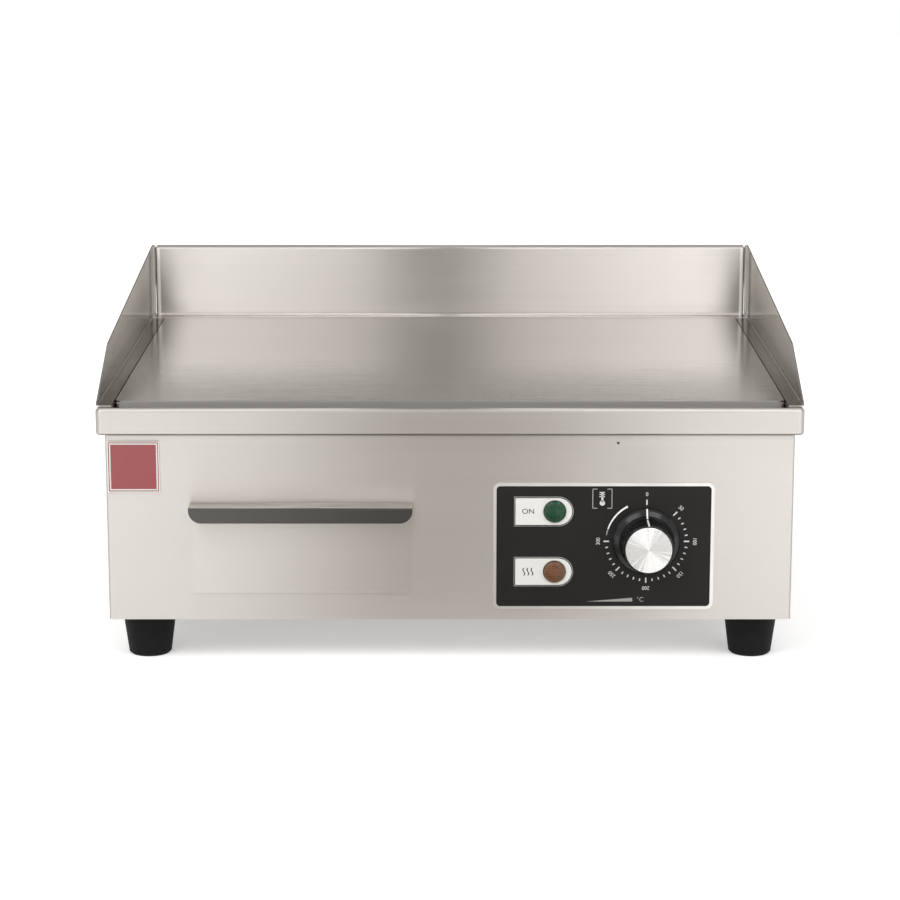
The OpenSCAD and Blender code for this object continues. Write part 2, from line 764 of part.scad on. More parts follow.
module insulation() {
    margin = body_t + body_r;
    color("ivory") difference() {
        block([-inner_half + margin, y_shield_front + 4, z_shield + body_t],
            [inner_half - margin, y_shield_back - 4, z_shield + body_t + wool_t]);
        at_terminals() translate([0, 0, z_shield]) cylinder(h = wool_t + 3, r = element_d / 2 + lead_gap);
    }
}

module thermostat_body() {
    color("#2a2a2a") difference() {
        union() {
            block([dial_x - thermo_w / 2, y_inner, dial_z - thermo_h / 2],
                [dial_x + thermo_w / 2, y_inner + thermo_d, dial_z + thermo_h / 2]);
            rod_y(dial_x, dial_z, bush_r, y_panel - 1.5, y_inner);
        }
        rod_y(dial_x, dial_z, shaft_d / 2 + fit, y_panel - 3, y_inner + thermo_d * 0.7);
    }
}

module thermostat_shaft() {
    color("silver") rod_y(dial_x, dial_z, shaft_d / 2, y_front - shaft_out, y_inner + thermo_d * 0.7 - 0.5);
}

module thermostat_bulb() {
    color("peru") translate([bulb_x, row_y[bulb_row], z_bulb]) rotate([0, 90, 0])
        cylinder(h = bulb_l, r = bulb_d / 2);
}

module bulb_clips() {
    r = bulb_d / 2;
    color("silver") for (x = [0.25, 0.75]) translate([bulb_x + x * bulb_l, row_y[bulb_row], 0])
        difference() {
            block([-5, -bulb_d, z_bulb - r - 1], [5, bulb_d, z_seat]);
            block([-6, -r - touch, z_bulb - r - touch], [6, r + touch, z_seat + 1]);
        }
}

module capillary_tube() {
    y0 = row_y[bulb_row];
    loop = lead_r;
    x1 = clamp_pitch + clamp_w / 2 + loop;
    y1 = y_shield_front - loop * 0.7;
    z1 = (z_clamp + z_shield + body_t + wool_t) / 2;
    entry = dial_z + thermo_h / 2;
    route = [[bulb_x + bulb_l, y0, z_bulb], [bulb_x + bulb_l + loop * 0.7, y0, z_bulb],
        [x1 - 3 * loop, y0, z1], [x1, y0 - loop, z1], [x1, y1 + loop, z1], [x1, y1, z1 - loop],
        [x1, y1, entry + loop * 1.4], [dial_x + loop / 2, y1, entry + loop / 2],
        [dial_x + loop / 2, y1, entry]];
    color("peru") tube(route, capillary_d / 2);
}

module terminal_block() {
    ways = 3;
    low = z_body + body_t;
    y0 = y_inner_back - block_back - block_d;
    x0 = gland_x - ways * block_pitch / 2;
    color("white") difference() {
        block([x0, y0, low], [x0 + ways * block_pitch, y0 + block_d, low + block_h]);
        for (k = [0:ways - 1], y = [0.27, 0.73])
            translate([x0 + (k + 0.5) * block_pitch, y0 + y * block_d, low + block_h * 0.3])
                cylinder(h = block_h, r = block_pitch * 0.2);
        for (k = [1:ways - 1])
            block([x0 + k * block_pitch - 1, y0 - 1, low + block_h * 0.65],
                [x0 + k * block_pitch + 1, y0 + block_d + 1, low + block_h + 1]);
    }
}

module panel_outline(grow) {
    rounded_rect(panel_w + 2 * grow, panel_h + 2 * grow, 3 + grow);
}

module control_panel() {
    color("#0d0d0f") difference() {
        translate([panel_right, 0, panel_z]) along_y(y_panel, y_front) panel_outline(0);
        rod_y(dial_x, dial_z, bush_r + hole_fit, y_panel - 1, y_front + 1);
        for (z = lamp_z) rod_y(lamp_x, z, lamp_d / 2 + hole_fit, y_panel - 1, y_front + 1);
    }
}

module panel_trim() {
    color("silver") translate([panel_right, 0, panel_z]) along_y(y_front - trim_t, y_front) difference() {
        panel_outline(trim_w);
        panel_outline(0.05);
    }
}

module lamp_tag(z) {
    end_x = tag_left + tag_w - tag_h / 2;
    color("whitesmoke") difference() {
        along_y(y_tag, y_panel) {
            translate([tag_left, z - tag_h / 2]) square([end_x - tag_left, tag_h]);
            translate([end_x, z]) circle(tag_h / 2);
        }
        rod_y(lamp_x, z, lamp_d / 2 + hole_fit, y_tag - 1, y_panel + 1);
    }
}

module power_tag() {
    lamp_tag(lamp_z[0]);
}

module heat_tag() {
    lamp_tag(lamp_z[1]);
}

module lamp_body(z) {
    color("#303030") rod_y(lamp_x, z, lamp_d / 2, y_tag, y_inner + lamp_l);
}

module power_lamp_body() {
    lamp_body(lamp_z[0]);
}

module heat_lamp_body() {
    lamp_body(lamp_z[1]);
}

// A lens: a short rim, then a low dome
module lens(z) {
    r = lens_d / 2;
    rim = lens_h * 0.35;
    color(z > panel_z ? "green" : "sienna") turned_y(lamp_x, y_tag, z)
        polygon(concat([[0, 0], [r, 0], [r, rim]],
            [for (a = [15:15:90]) [r * cos(a), rim + (lens_h - rim) * sin(a)]]));
}

module power_lens() {
    lens(lamp_z[0]);
}

module heat_lens() {
    lens(lamp_z[1]);
}

module lamp_clips() {
    color("silver") for (z = lamp_z) difference() {
        rod_y(lamp_x, z, lamp_d / 2 + 3, y_inner, y_inner + 1);
        rod_y(lamp_x, z, lamp_d / 2 + fit, y_inner - 1, y_inner + 2);
    }
}

// The moulded knob: a flared skirt, a tapering grip, a hollow back and a boss for the shaft
module knob_body() {
    skirt = skirt_d / 2;
    grip = grip_d / 2;
    low = panel_t + 0.5;
    top = knob_out - cap_t;
    wall = 3;
    bore = shaft_d / 2 + 0.02;
    outer = [[skirt, low], [skirt, low + 1.5], [skirt - 1.5, low + 3.2], [grip + 1.8, low + 5.5],
        [grip, low + 8], [grip - 0.6, top - 0.5], [grip - 1.2, top + 0.8], [cap_d / 2 + fit, top + 0.8],
        [cap_d / 2 + fit, top], [0, top]];
    inner = [[0, shaft_out + 0.3], [bore, shaft_out + 0.3], [bore, low + 3], [shaft_d / 2 + 4, low + 3],
        [shaft_d / 2 + 4, top - 4], [grip - wall, top - 4], [grip - wall, low + 5], [skirt - wall, low + 1.5],
        [skirt - wall, low]];
    color("#101012") difference() {
        turned_y(dial_x, y_front, dial_z) polygon(concat(outer, inner));
        block([dial_x - 0.7, y_front - top + 1, dial_z + grip - 1.1],
            [dial_x + 0.7, y_front - low - 8, dial_z + grip + 1]);
    }
}

module knob_cap() {
    r = cap_d / 2;
    top = knob_out - cap_t;
    color("silver") turned_y(dial_x, y_front, dial_z)
        polygon([[0, top], [r, top], [r, knob_out - 0.5], [r - 0.5, knob_out], [0, knob_out]]);
}

module drawer_box() {
    half = box_w / 2;
    section = [[-half - rim_w, box_top - body_t], [-half, box_top - body_t], [-half, box_low],
        [half, box_low], [half, box_top - body_t], [half + rim_w, box_top - body_t]];
    color("gainsboro") translate([drawer_x, 0, 0]) {
        along_y(y_box, y_box_back) sheet(section, body_t, bend_r);
        for (y = [y_box, y_box_back - body_t])
            block([-half + body_t / 2, y, box_low + body_t / 2], [half - body_t / 2, y + body_t, box_top]);
    }
}

module drawer_front() {
    half = drawer_w / 2;
    wide = half + handle_over;
    y_lip = y_front - handle_out + body_t;
    path = [[y_lip, drawer_top - handle_lip], [y_lip, drawer_top - body_t],
        [y_face, drawer_top - body_t], [y_face, drawer_z]];
    grip = [path[0], path[1], path[2]];
    color("gainsboro") translate([drawer_x, 0, 0]) intersection() {
        union() {
            along_x(-half, half) sheet(path, body_t, bend_r);
            along_x(-wide, wide) sheet(grip, body_t, bend_r);
        }
        union() {
            block([-half, y_face, drawer_z - 1], [half, y_box + 1, drawer_top + 1]);
            translate([0, 0, drawer_top]) along_y(y_front - handle_out - 1, y_face) {
                translate([handle_r - wide, -handle_lip]) square([2 * (wide - handle_r), handle_lip]);
                translate([-wide, handle_r - handle_lip]) square([2 * wide, handle_lip - handle_r]);
                for (x = [handle_r - wide, wide - handle_r]) translate([x, handle_r - handle_lip])
                    circle(handle_r);
            }
        }
    }
}

// A runner stands on the base tray: foot flange, web beside the drawer, ledge under it, end stop
module drawer_runner() {
    web = box_w / 2 + 1;
    low = z_body + body_t;
    ledge = box_low - slide_gap;
    y0 = y_front + runner_start;
    y1 = y_box_back + 0.5;
    section = [[-web - runner_w, low], [-web, low], [-web, box_low + runner_h]];
    color("silver") {
        along_y(y0, y1 + stop_t) sheet(section, body_t, body_r);
        block([-web - body_t / 2, y0, ledge - body_t], [-web + runner_w, y1 + stop_t, ledge]);
        block([-web - body_t / 2, y1, ledge - body_t / 2], [-web + runner_w, y1 + stop_t, ledge + runner_h]);
    }
}

module drawer_runner_left() {
    translate([drawer_x, 0, 0]) drawer_runner();
}

module drawer_runner_right() {
    translate([drawer_x, 0, 0]) mirror([1, 0, 0]) drawer_runner();
}

module badge_plate() {
    x0 = -body_half + badge_edge;
    z1 = z_rail_low - badge_drop;
    color("firebrick") block([x0, y_front - badge_t, z1 - badge_w], [x0 + badge_w, y_front, z1]);
}

// The gland: thread through the panel, hexagon, clamping nut with a domed end
module cable_gland() {
    r = gland_d / 2;
    bore = gland_bore_d / 2;
    outer = [[bore, -gland_tail - body_t], [r, -gland_tail - body_t], [r, 0], [r + 2, 0],
        [r + 2, gland_out * 0.25], [r + 1, gland_out * 0.3], [r + 1, gland_out * 0.75],
        [r - 1, gland_out], [bore, gland_out]];
    color("#202020") {
        translate([gland_x, y_rear, gland_z]) rotate([-90, 0, 0]) rotate_extrude() polygon(outer);
        translate([gland_x, y_rear, gland_z]) rotate([-90, 0, 0]) difference() {
            cylinder(h = gland_out * 0.25, r = r + gland_hex, $fn = 6);
            translate([0, 0, -1]) cylinder(h = gland_out, r = r);
        }
    }
}

module gland_nut() {
    r = gland_d / 2;
    color("#202020") translate([gland_x, y_inner_back, gland_z]) rotate([90, 0, 0]) difference() {
        cylinder(h = nut_t, r = r + gland_hex, $fn = 6);
        translate([0, 0, -1]) cylinder(h = nut_t + 2, r = r + fit);
    }
}

// A stud with a thread relief between the nut and the end that takes the ring terminal
module bonding_stud() {
    r = bond_d / 2;
    start = y_inner_back - nut_t - 2;
    relief = y_rear + nut_t - start;
    tip = y_rear + bond_out - start;
    color("silver") translate([bond_x, start, gland_z]) rotate([-90, 0, 0]) rotate_extrude()
        polygon([[0, 0], [r, 0], [r, relief], [r - 0.3, relief], [r - 0.3, relief + 1],
            [r, relief + 1], [r, tip], [0, tip]]);
}

module bonding_nuts() {
    color("silver") for (y = [y_inner_back, y_rear + nut_t]) difference() {
        translate([bond_x, y, gland_z]) rotate([90, 0, 0]) cylinder(h = nut_t, r = bond_d, $fn = 6);
        rod_y(bond_x, gland_z, bond_d / 2 + fit, y - nut_t - 1, y + 1);
    }
}

griddle_plate();
front_rail();
left_rail();
right_rail();
rear_rail();
gutter_floor();
front_seat();
back_splash();
left_guard();
right_guard();
drain_spout();
body_shell();
rear_panel();
base_tray();
foot_front_left();
foot_front_right();
foot_rear_left();
foot_rear_right();
foot_bolts();
foot_nuts();
heating_elements();
element_terminals();
clamp_bars();
clamp_studs();
clamp_nuts();
insulation();
heat_shield();
thermostat_body();
thermostat_shaft();
thermostat_bulb();
capillary_tube();
bulb_clips();
terminal_block();
control_panel();
panel_trim();
power_tag();
heat_tag();
power_lamp_body();
heat_lamp_body();
power_lens();
heat_lens();
lamp_clips();
knob_body();
knob_cap();
drawer_box();
drawer_front();
drawer_runner_left();
drawer_runner_right();
badge_plate();
cable_gland();
gland_nut();
bonding_stud();
bonding_nuts();
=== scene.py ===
import math

import bmesh
import bpy
from mathutils import Matrix, Vector


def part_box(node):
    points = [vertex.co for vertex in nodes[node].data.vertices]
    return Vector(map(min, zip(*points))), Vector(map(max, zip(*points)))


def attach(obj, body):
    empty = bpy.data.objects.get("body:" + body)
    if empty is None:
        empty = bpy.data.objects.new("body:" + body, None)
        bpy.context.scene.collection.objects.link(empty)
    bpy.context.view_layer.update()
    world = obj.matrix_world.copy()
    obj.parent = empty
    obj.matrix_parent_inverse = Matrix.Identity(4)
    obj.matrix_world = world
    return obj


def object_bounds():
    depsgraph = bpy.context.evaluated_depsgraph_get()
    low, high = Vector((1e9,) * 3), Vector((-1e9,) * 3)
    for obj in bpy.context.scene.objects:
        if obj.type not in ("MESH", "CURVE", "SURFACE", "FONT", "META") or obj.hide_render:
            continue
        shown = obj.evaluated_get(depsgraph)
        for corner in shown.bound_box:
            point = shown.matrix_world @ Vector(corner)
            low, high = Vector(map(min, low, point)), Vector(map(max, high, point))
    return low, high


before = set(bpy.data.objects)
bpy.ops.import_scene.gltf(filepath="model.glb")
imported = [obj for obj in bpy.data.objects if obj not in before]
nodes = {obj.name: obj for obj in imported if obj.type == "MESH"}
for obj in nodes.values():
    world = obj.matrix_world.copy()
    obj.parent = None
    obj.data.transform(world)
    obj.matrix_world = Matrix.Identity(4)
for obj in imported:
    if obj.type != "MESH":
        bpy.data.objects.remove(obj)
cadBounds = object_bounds()
plateLow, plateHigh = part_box("griddle_plate")
railLow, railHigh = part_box("front_rail")
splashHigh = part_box("back_splash")[1]
drawerLow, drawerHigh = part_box("drawer_front")
plateFront, plateBack, plateTop = plateLow.y, plateHigh.y, plateHigh.z
railFront, railFoot, railEnd = railLow.y, railLow.z, railHigh.x
splashTop, splashEnd = splashHigh.z, splashHigh.x
drawerEnd = -drawerHigh.x  # the drawer ends left of the middle
drawerFoot, handleFront = drawerLow.z, drawerLow.y
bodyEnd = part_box("body_shell")[1].x
print("frame loaded:", len(nodes), "CAD nodes")


class Wire:
    # a socket in a material's tree; sums on wires add Math nodes
    def __init__(self, tree, socket=None):
        self.tree = tree
        self.socket = socket

    def node(self, kind, settings=None, inputs=None, output=0):
        made = self.tree.nodes.new("ShaderNode" + kind)
        for name, value in (settings or {}).items():
            if name == "stops":
                ramp = made.color_ramp
                while len(ramp.elements) < len(value):
                    ramp.elements.new(0.5)
                for element, (place, colour) in zip(ramp.elements, value):
                    element.position = place
                    element.color = colour
            else:
                setattr(made, name, value)
        for name, value in (inputs or {}).items():
            if isinstance(value, Wire):
                self.tree.links.new(value.socket, made.inputs[name])
            else:
                made.inputs[name].default_value = value
        return Wire(self.tree, made.outputs[output] if len(made.outputs) else None)

    def maths(self, operation, first, second=0.0):
        return self.node("Math", {"operation": operation}, {0: first, 1: second})

    def __add__(self, other):
        return self.maths("ADD", self, other)

    __radd__ = __add__

    def __sub__(self, other):
        return self.maths("SUBTRACT", self, other)

    def __rsub__(self, other):
        return self.maths("SUBTRACT", other, self)

    def __mul__(self, other):
        return self.maths("MULTIPLY", self, other)

    __rmul__ = __mul__

    def blend(self, low, high):
        return self.node("Mix", {"data_type": "RGBA"}, {0: self, 6: low, 7: high}, 2)

    def between(self, low, high):
        return self.node("MapRange", {"interpolation_type": "SMOOTHSTEP"},
                         {"Value": self, "From Min": low, "From Max": high})

    def place(self, scale=(1, 1, 1), centre=(0, 0, 0)):
        coords = self.node("TexCoord", output="Object")
        moved = self.node("Mapping", {"vector_type": "POINT"},
                          {"Vector": coords, "Location": [-c for c in centre]})
        return self.node("Mapping", {"vector_type": "POINT"}, {"Vector": moved, "Scale": scale})

    def coordinates(self):
        # distance from the middle, depth and height
        coords = self.node("TexCoord", output="Object")
        parts = [self.node("SeparateXYZ", None, {"Vector": coords}, k) for k in "XYZ"]
        return [self.maths("ABSOLUTE", parts[0])] + parts[1:]

    def noise(self, scale, detail=2.0, rough=0.5, **more):
        return self.node("TexNoise", None, {"Vector": self.place(scale), "Scale": 1.0,
                                            "Detail": detail, "Roughness": rough, **more})

    def bump(self, height, depth, strength=1.0):
        return self.node("Bump", None, {"Height": height, "Distance": depth, "Strength": strength})


def rgb(red, green, blue):
    return (red, green, blue, 1.0)


def shade(colour, factor):
    return rgb(*(c * factor for c in colour[:3]))


def newFinish(name, constants, pattern=None):
    # constants go straight on the shader's sockets, pattern gives the few that vary over the surface
    material = bpy.data.materials.new(name)
    material.use_nodes = True
    tree = material.node_tree
    tree.nodes.clear()
    start = Wire(tree)
    varying = pattern(start) if pattern else {}
    shader = start.node("BsdfPrincipled", None, {**constants, **varying})
    start.node("OutputMaterial", None, {"Surface": shader})
    material.diffuse_color = constants.get("Base Color", rgb(0.6, 0.6, 0.6))
    return material


def grainScale(along, across, axis):
    return [along if axis == k else across for k in "XYZ"]


def brushedSteel(name, colour, rough, axis="X", grip=0.0, turn=0.0, depth=1.0, streaks=1.0, glance=1.0,
                 paintedShades=()):
    # paintedShades: bands of painted shade and painted highlight, (direction, from, to, tone, metal), where
    # tone and metal hold past the second place and X counts from the middle
    def pattern(w):
        fine = w.noise(grainScale(14, 2600, axis), 3, 0.65)
        band = w.noise(grainScale(2.2, 420, axis), 3, 0.6)
        broad = w.noise(grainScale(1.1, 60, axis), 2, 0.5)
        cloud = w.noise((7, 7, 7), 3, 0.55)
        grain = fine * 0.45 + band * 0.35 + broad * 0.2
        tone = (grain - 0.5) * (0.9 * streaks) + (cloud - 0.5) * 0.18 + 0.5
        height = fine * 0.6 + band * 0.4
        skin = tone.blend(shade(colour, 0.86), shade(colour, 1.13))
        metal = 1.0
        parts = w.coordinates() if paintedShades else []
        for direction, start, end, level, shine in paintedShades:
            spot = sum(part * share for part, share in zip(parts, direction) if share)
            # each band paints shade or light into the steel's colour
            paintedTone = tone.blend(shade(colour, level * 0.86), shade(colour, level * 1.13))
            reach = spot.between(start, end)
            skin = reach.blend(skin, paintedTone)
            if shine != metal:
                metal = metal + reach * (shine - metal)
        return {
            "Base Color": skin, "Metallic": metal,
            "Roughness": (grain - 0.5) * 0.22 + (cloud - 0.5) * 0.10 + rough,
            "Normal": w.bump(height, 0.00002 * depth, 0.6),
        }
    return newFinish(name, {"Anisotropic": grip, "Anisotropic Rotation": turn,
                            "Specular Tint": rgb(glance, glance, glance)}, pattern)


steel = rgb(0.66, 0.628, 0.588)
across, deep, up = (1, 0, 0), (0, 1, 0), (0, 0, 1)
sheet = 0.0012  # thickness of the deck's sheet
cornerSlope = 0.26  # how far the shade in the splash's corner leans
topSlope = 20  # how sharply the rail's top is told from its side
cornerLine = splashEnd - cornerSlope * plateTop
railBehind = railFront + topSlope * railHigh.z
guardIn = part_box("right_guard")[1].x - sheet
# painted light and shade: darker in the splash's corners and along its foot, a lighter and less metallic
# strip on each rolled end, a dark line in the seam at each end and a darker top edge
deckSteel = brushedSteel("brushed deck steel", rgb(0.86, 0.825, 0.778), 0.36, "X", grip=0.93, turn=0.25,
                         streaks=0.8,
                         paintedShades=[((1, 0, -cornerSlope), cornerLine - 0.0379, cornerLine - 0.0039, 0.58, 1.0),
                                (up, plateTop + 0.0040, plateTop + 0.0012, 0.76, 1.0),
                                (across, splashEnd - 0.0048, splashEnd - 0.0036, 1.0, 0.3),
                                (across, splashEnd - 0.0016, splashEnd - 0.0006, 0.4, 1.0),
                                (up, splashTop - 0.0022, splashTop - 0.0010, 0.53, 1.0)])
# painted shade: darker towards the rail's ends, on its back where it drops into the gutter and along its
# foot, with a thin lighter line at each end
railSteel = brushedSteel("brushed rail steel", shade(steel, 0.86), 0.38, "X", grip=0.9, turn=0.25,
                         paintedShades=[(across, railEnd - 0.0040, railEnd - 0.0010, 0.72, 1.0),
                                (across, railEnd - 0.0004, railEnd - 0.0001, 1.05, 1.0),
                                ((0, 1, topSlope), railBehind + 0.0030, railBehind + 0.0045, 0.36, 1.0),
                                (up, railFoot + 0.0018, railFoot + 0.0006, 0.3, 1.0)])
# painted shade: a dark copy of the rail steel for the deep gutter floor and the front seat
gutterSteel = brushedSteel("brushed gutter steel", shade(steel, 0.35), 0.38, "X", grip=0.9, turn=0.25)
rearRailSteel = brushedSteel("brushed rear rail steel", shade(steel, 0.95), 0.36, "X", grip=0.85, turn=0.25)
sideRailSteel = brushedSteel("brushed side rail steel", shade(steel, 0.92), 0.34, "Y", grip=0.7, turn=0.25)
# painted light and shade: lighter towards the top, darker on the bend at the foot, the flange at plate level
# a little lighter, lighter and less metallic towards the rear, and a dark line along the sheet's edge with a
# lighter outer face
guardSteel = brushedSteel("brushed guard steel", shade(steel, 0.62), 0.15, "Z", grip=0.5, glance=0.8,
                          paintedShades=[(up, splashTop - 0.0441, splashTop - 0.0151, 1.9, 1.0),
                                 (up, plateTop + 0.0042, plateTop + 0.0024, 0.35, 1.0),
                                 (up, plateTop + 0.00015, plateTop + 0.00002, 1.1, 1.0),
                                 (deep, plateBack - 0.0097, plateBack - 0.0037, 1.4, 0.4),
                                 (deep, plateBack + 0.0100, plateBack + 0.0112, 1.35, 0.5),
                                 (across, guardIn + 0.0001, guardIn + 0.0003, 0.4, 1.0),
                                 (across, guardIn + 0.0009, guardIn + 0.0011, 1.4, 1.0)])
# painted light and shade: a lighter band below the rail, a dark shadow line right under it, and a dark line
# along the body's side edges
bodySteel = brushedSteel("brushed body steel", shade(steel, 0.92), 0.40, "X", grip=0.92, turn=0.25,
                         streaks=0.45,
                         paintedShades=[(up, railFoot - 0.0120, railFoot - 0.0020, 1.15, 1.0),
                                (up, railFoot - 0.0024, railFoot - 0.0008, 0.3, 1.0),
                                (across, bodyEnd - 0.0016, bodyEnd - 0.0004, 0.6, 1.0),
                                (across, bodyEnd - 0.0003, bodyEnd - 0.0001, 1.0, 1.0)])
rearSteel = brushedSteel("brushed rear steel", shade(steel, 1.05), 0.38, "X", grip=0.85, turn=0.25)
# painted light and shade: a lighter strip along the drawer front's side edge and bottom, and painted shade on
# the handle's lip
drawerSteel = brushedSteel("brushed drawer steel", shade(steel, 0.91), 0.36, "X", grip=0.9, turn=0.25,
                           streaks=0.5,
                           paintedShades=[(across, drawerEnd + 0.0018, drawerEnd + 0.0008, 1.12, 1.0),
                                  (up, drawerFoot + 0.0018, drawerFoot + 0.0008, 1.04, 1.0),
                                  (deep, handleFront + 0.0008, handleFront + 0.0006, 0.165, 1.0)])
millSteel = brushedSteel("mill finish steel", shade(steel, 0.82), 0.36, "Y", depth=0.5, streaks=0.5)


def groundPlate(w):
    # ground plate: long grinding lines, a little haze and wiping marks, and a dull machined front edge,
    # painted darker as shade and darkest on its top chamfer
    fine = w.noise(grainScale(10, 1900, "X"), 3, 0.6)
    band = w.noise(grainScale(1.6, 260, "X"), 3, 0.6)
    haze = w.noise((5, 9, 5), 3, 0.5)
    wipes = w.noise((26, 9, 20), 2, 0.5, Distortion=0.6)
    grain = fine * 0.5 + band * 0.5
    tone = (grain - 0.5) * 0.9 + (haze - 0.5) * 0.3 + 0.5
    depth, height = w.coordinates()[1:]
    edge = depth.between(plateFront + 0.0012, plateFront + 0.0007)
    low = height.between(plateTop - 0.0004, plateTop - 0.0009)
    top = tone.blend(rgb(0.50, 0.488, 0.473), rgb(0.70, 0.684, 0.664))
    # painted shade: the front edge's colour is darker, darkest on the chamfer at its top
    machinedAndShaded = low.blend(tone.blend(rgb(0.17, 0.163, 0.155), rgb(0.24, 0.23, 0.218)),
                         tone.blend(rgb(0.25, 0.24, 0.227), rgb(0.36, 0.345, 0.327)))
    shine = (grain - 0.5) * 0.10 + (haze - 0.5) * 0.08 + (wipes - 0.5) * 0.05 + 0.07
    return {
        "Base Color": edge.blend(top, machinedAndShaded),
        "Metallic": 1 - edge * 0.75,
        "Roughness": shine + edge * 0.3,
        "Normal": w.bump(fine * 0.6 + band * 0.4, 0.00012, 0.6),
    }


plateSteel = newFinish("ground plate steel", {}, groundPlate)


def moulded(name, colour, rough, grain=1.0, level=0.5, coat=0.0):
    # moulded skin: fine spark-eroded grain with small clouds of polish
    def pattern(w):
        skin = w.noise((1500, 1500, 1500), 2, 0.5)
        cloud = w.noise((40, 40, 40), 3, 0.5)
        return {
            "Base Color": cloud.blend(shade(colour, 0.86), shade(colour, 1.16)),
            "Roughness": (cloud - 0.5) * 0.16 + (skin - 0.5) * 0.08 + rough,
            "Normal": w.bump(skin, 0.00004 * grain, 0.5),
        }
    return newFinish(name, {"Metallic": 0.0, "Specular IOR Level": level, "Coat Weight": coat,
                            "Coat Roughness": 0.06}, pattern)


panelBlack = moulded("silk black panel film", rgb(0.0110, 0.0100, 0.0088), 0.42, 0.35, 0.18)
knobBlack = moulded("gloss black knob", rgb(0.0065, 0.0062, 0.006), 0.15, 0.05, 0.37)
footRubber = moulded("black foot rubber", rgb(0.0070, 0.0066, 0.0068), 0.66, 1.6, 0.14)
darkMoulding = moulded("dark phenolic moulding", rgb(0.022, 0.021, 0.02), 0.5, 1.0)
glandNylon = moulded("black nylon", rgb(0.016, 0.016, 0.017), 0.44, 0.9)
ceramicWhite = moulded("glazed ceramic", rgb(0.80, 0.78, 0.73), 0.2, 0.4, 0.5, 0.4)


def plated(name, colour, rough, hue):
    # plated or drawn metal: fine crystal speckle and a faint change of hue
    def pattern(w):
        speckle = w.noise((900, 900, 900), 3, 0.6)
        cloud = w.noise((60, 60, 60), 2, 0.5)
        return {
            "Base Color": cloud.between(0.3, 0.7).blend(colour, hue),
            "Roughness": (speckle - 0.5) * 0.18 + (cloud - 0.5) * 0.12 + rough,
            "Normal": w.bump(speckle, 0.00002, 0.4),
        }
    return newFinish(name, {"Metallic": 1.0}, pattern)


zincPlate = plated("zinc plate", rgb(0.62, 0.61, 0.58), 0.34, rgb(0.60, 0.60, 0.63))
brassTurned = plated("turned brass", rgb(0.68, 0.50, 0.24), 0.28, rgb(0.60, 0.42, 0.20))
copperDrawn = plated("drawn copper", rgb(0.72, 0.42, 0.29), 0.30, rgb(0.58, 0.32, 0.22))
elementSheath = plated("oxidised element sheath", rgb(0.16, 0.15, 0.135), 0.55, rgb(0.24, 0.20, 0.16))
trimMetal = plated("satin trim metal", rgb(0.77, 0.755, 0.72), 0.34, rgb(0.71, 0.695, 0.665))


def woolPattern(w):
    fibre = w.noise((260, 900, 260), 5, 0.7, Distortion=1.4)
    tuft = w.noise((45, 45, 45), 4, 0.6)
    return {
        "Base Color": (fibre * 0.6 + tuft * 0.4).blend(rgb(0.55, 0.51, 0.42), rgb(0.90, 0.87, 0.80)),
        "Roughness": fibre * 0.2 + 0.75,
        "Normal": w.bump(fibre * 0.5 + tuft, 0.0012, 0.9),
    }


mineralWool = newFinish("mineral wool", {"Metallic": 0.0, "Sheen Weight": 0.3}, woolPattern)


def tagPattern(w):
    grain = w.noise(grainScale(30, 2400, "X"), 3, 0.6)
    cloud = w.noise((30, 30, 30), 2, 0.5)
    return {
        "Base Color": (grain * 0.5 + cloud * 0.5).blend(rgb(0.66, 0.655, 0.62), rgb(0.80, 0.79, 0.76)),
        "Roughness": grain * 0.16 + 0.32,
        "Metallic": cloud * 0.2 + 0.35,
        "Normal": w.bump(grain, 0.00001, 0.5),
    }


tagSatin = newFinish("satin lamp tag", {"Specular IOR Level": 0.4}, tagPattern)


def lensFinish(name, dark, glow, centre):
    # moulded lens: small prisms inside a clear cap
    def pattern(w):
        prisms = w.node("TexVoronoi", {"feature": "F1"},
                        {"Vector": w.place((1, 1, 1), centre), "Scale": 620.0, "Randomness": 0.35})
        cloud = w.noise((120, 120, 120), 2, 0.5)
        return {
            "Base Color": (prisms * 1.1 + cloud * 0.3).between(0.1, 1.0).blend(dark, glow),
            "Roughness": cloud * 0.08 + 0.20,
            "Normal": w.bump(prisms, 0.0004, 0.35),
        }
    return newFinish(name, {"Metallic": 0.0, "Specular IOR Level": 0.3, "Coat Weight": 0.1,
                            "Coat Roughness": 0.12}, pattern)


def ink(name, colour):
    # screen printed ink with a slight mottle
    def pattern(w):
        mottle = w.noise((1400, 1400, 1400), 3, 0.6)
        return {
            "Base Color": mottle.blend(shade(colour, 0.8), shade(colour, 1.1)),
            "Roughness": mottle * 0.2 + 0.4,
        }
    return newFinish(name, {"Metallic": 0.0, "Specular IOR Level": 0.3}, pattern)


whiteInk = ink("white screen ink", rgb(0.62, 0.61, 0.58))
greyInk = ink("grey screen ink", rgb(0.30, 0.295, 0.28))
brightInk = ink("bright white ink", rgb(0.82, 0.81, 0.79))
blackInk = ink("black screen ink", rgb(0.03, 0.03, 0.03))


def redPattern(w):
    cloud = w.noise((55, 55, 55), 3, 0.5)
    grain = w.noise(grainScale(60, 1500, "X"), 2, 0.5)
    return {
        "Base Color": (cloud * 0.7 + grain * 0.3).blend(rgb(0.20, 0.030, 0.031), rgb(0.27, 0.050, 0.051)),
        "Roughness": cloud * 0.12 + 0.24,
        "Normal": w.bump(grain, 0.00001, 0.4),
    }


badgeRed = newFinish("red enamel", {"Metallic": 0.15, "Coat Weight": 0.3, "Coat Roughness": 0.1}, redPattern)


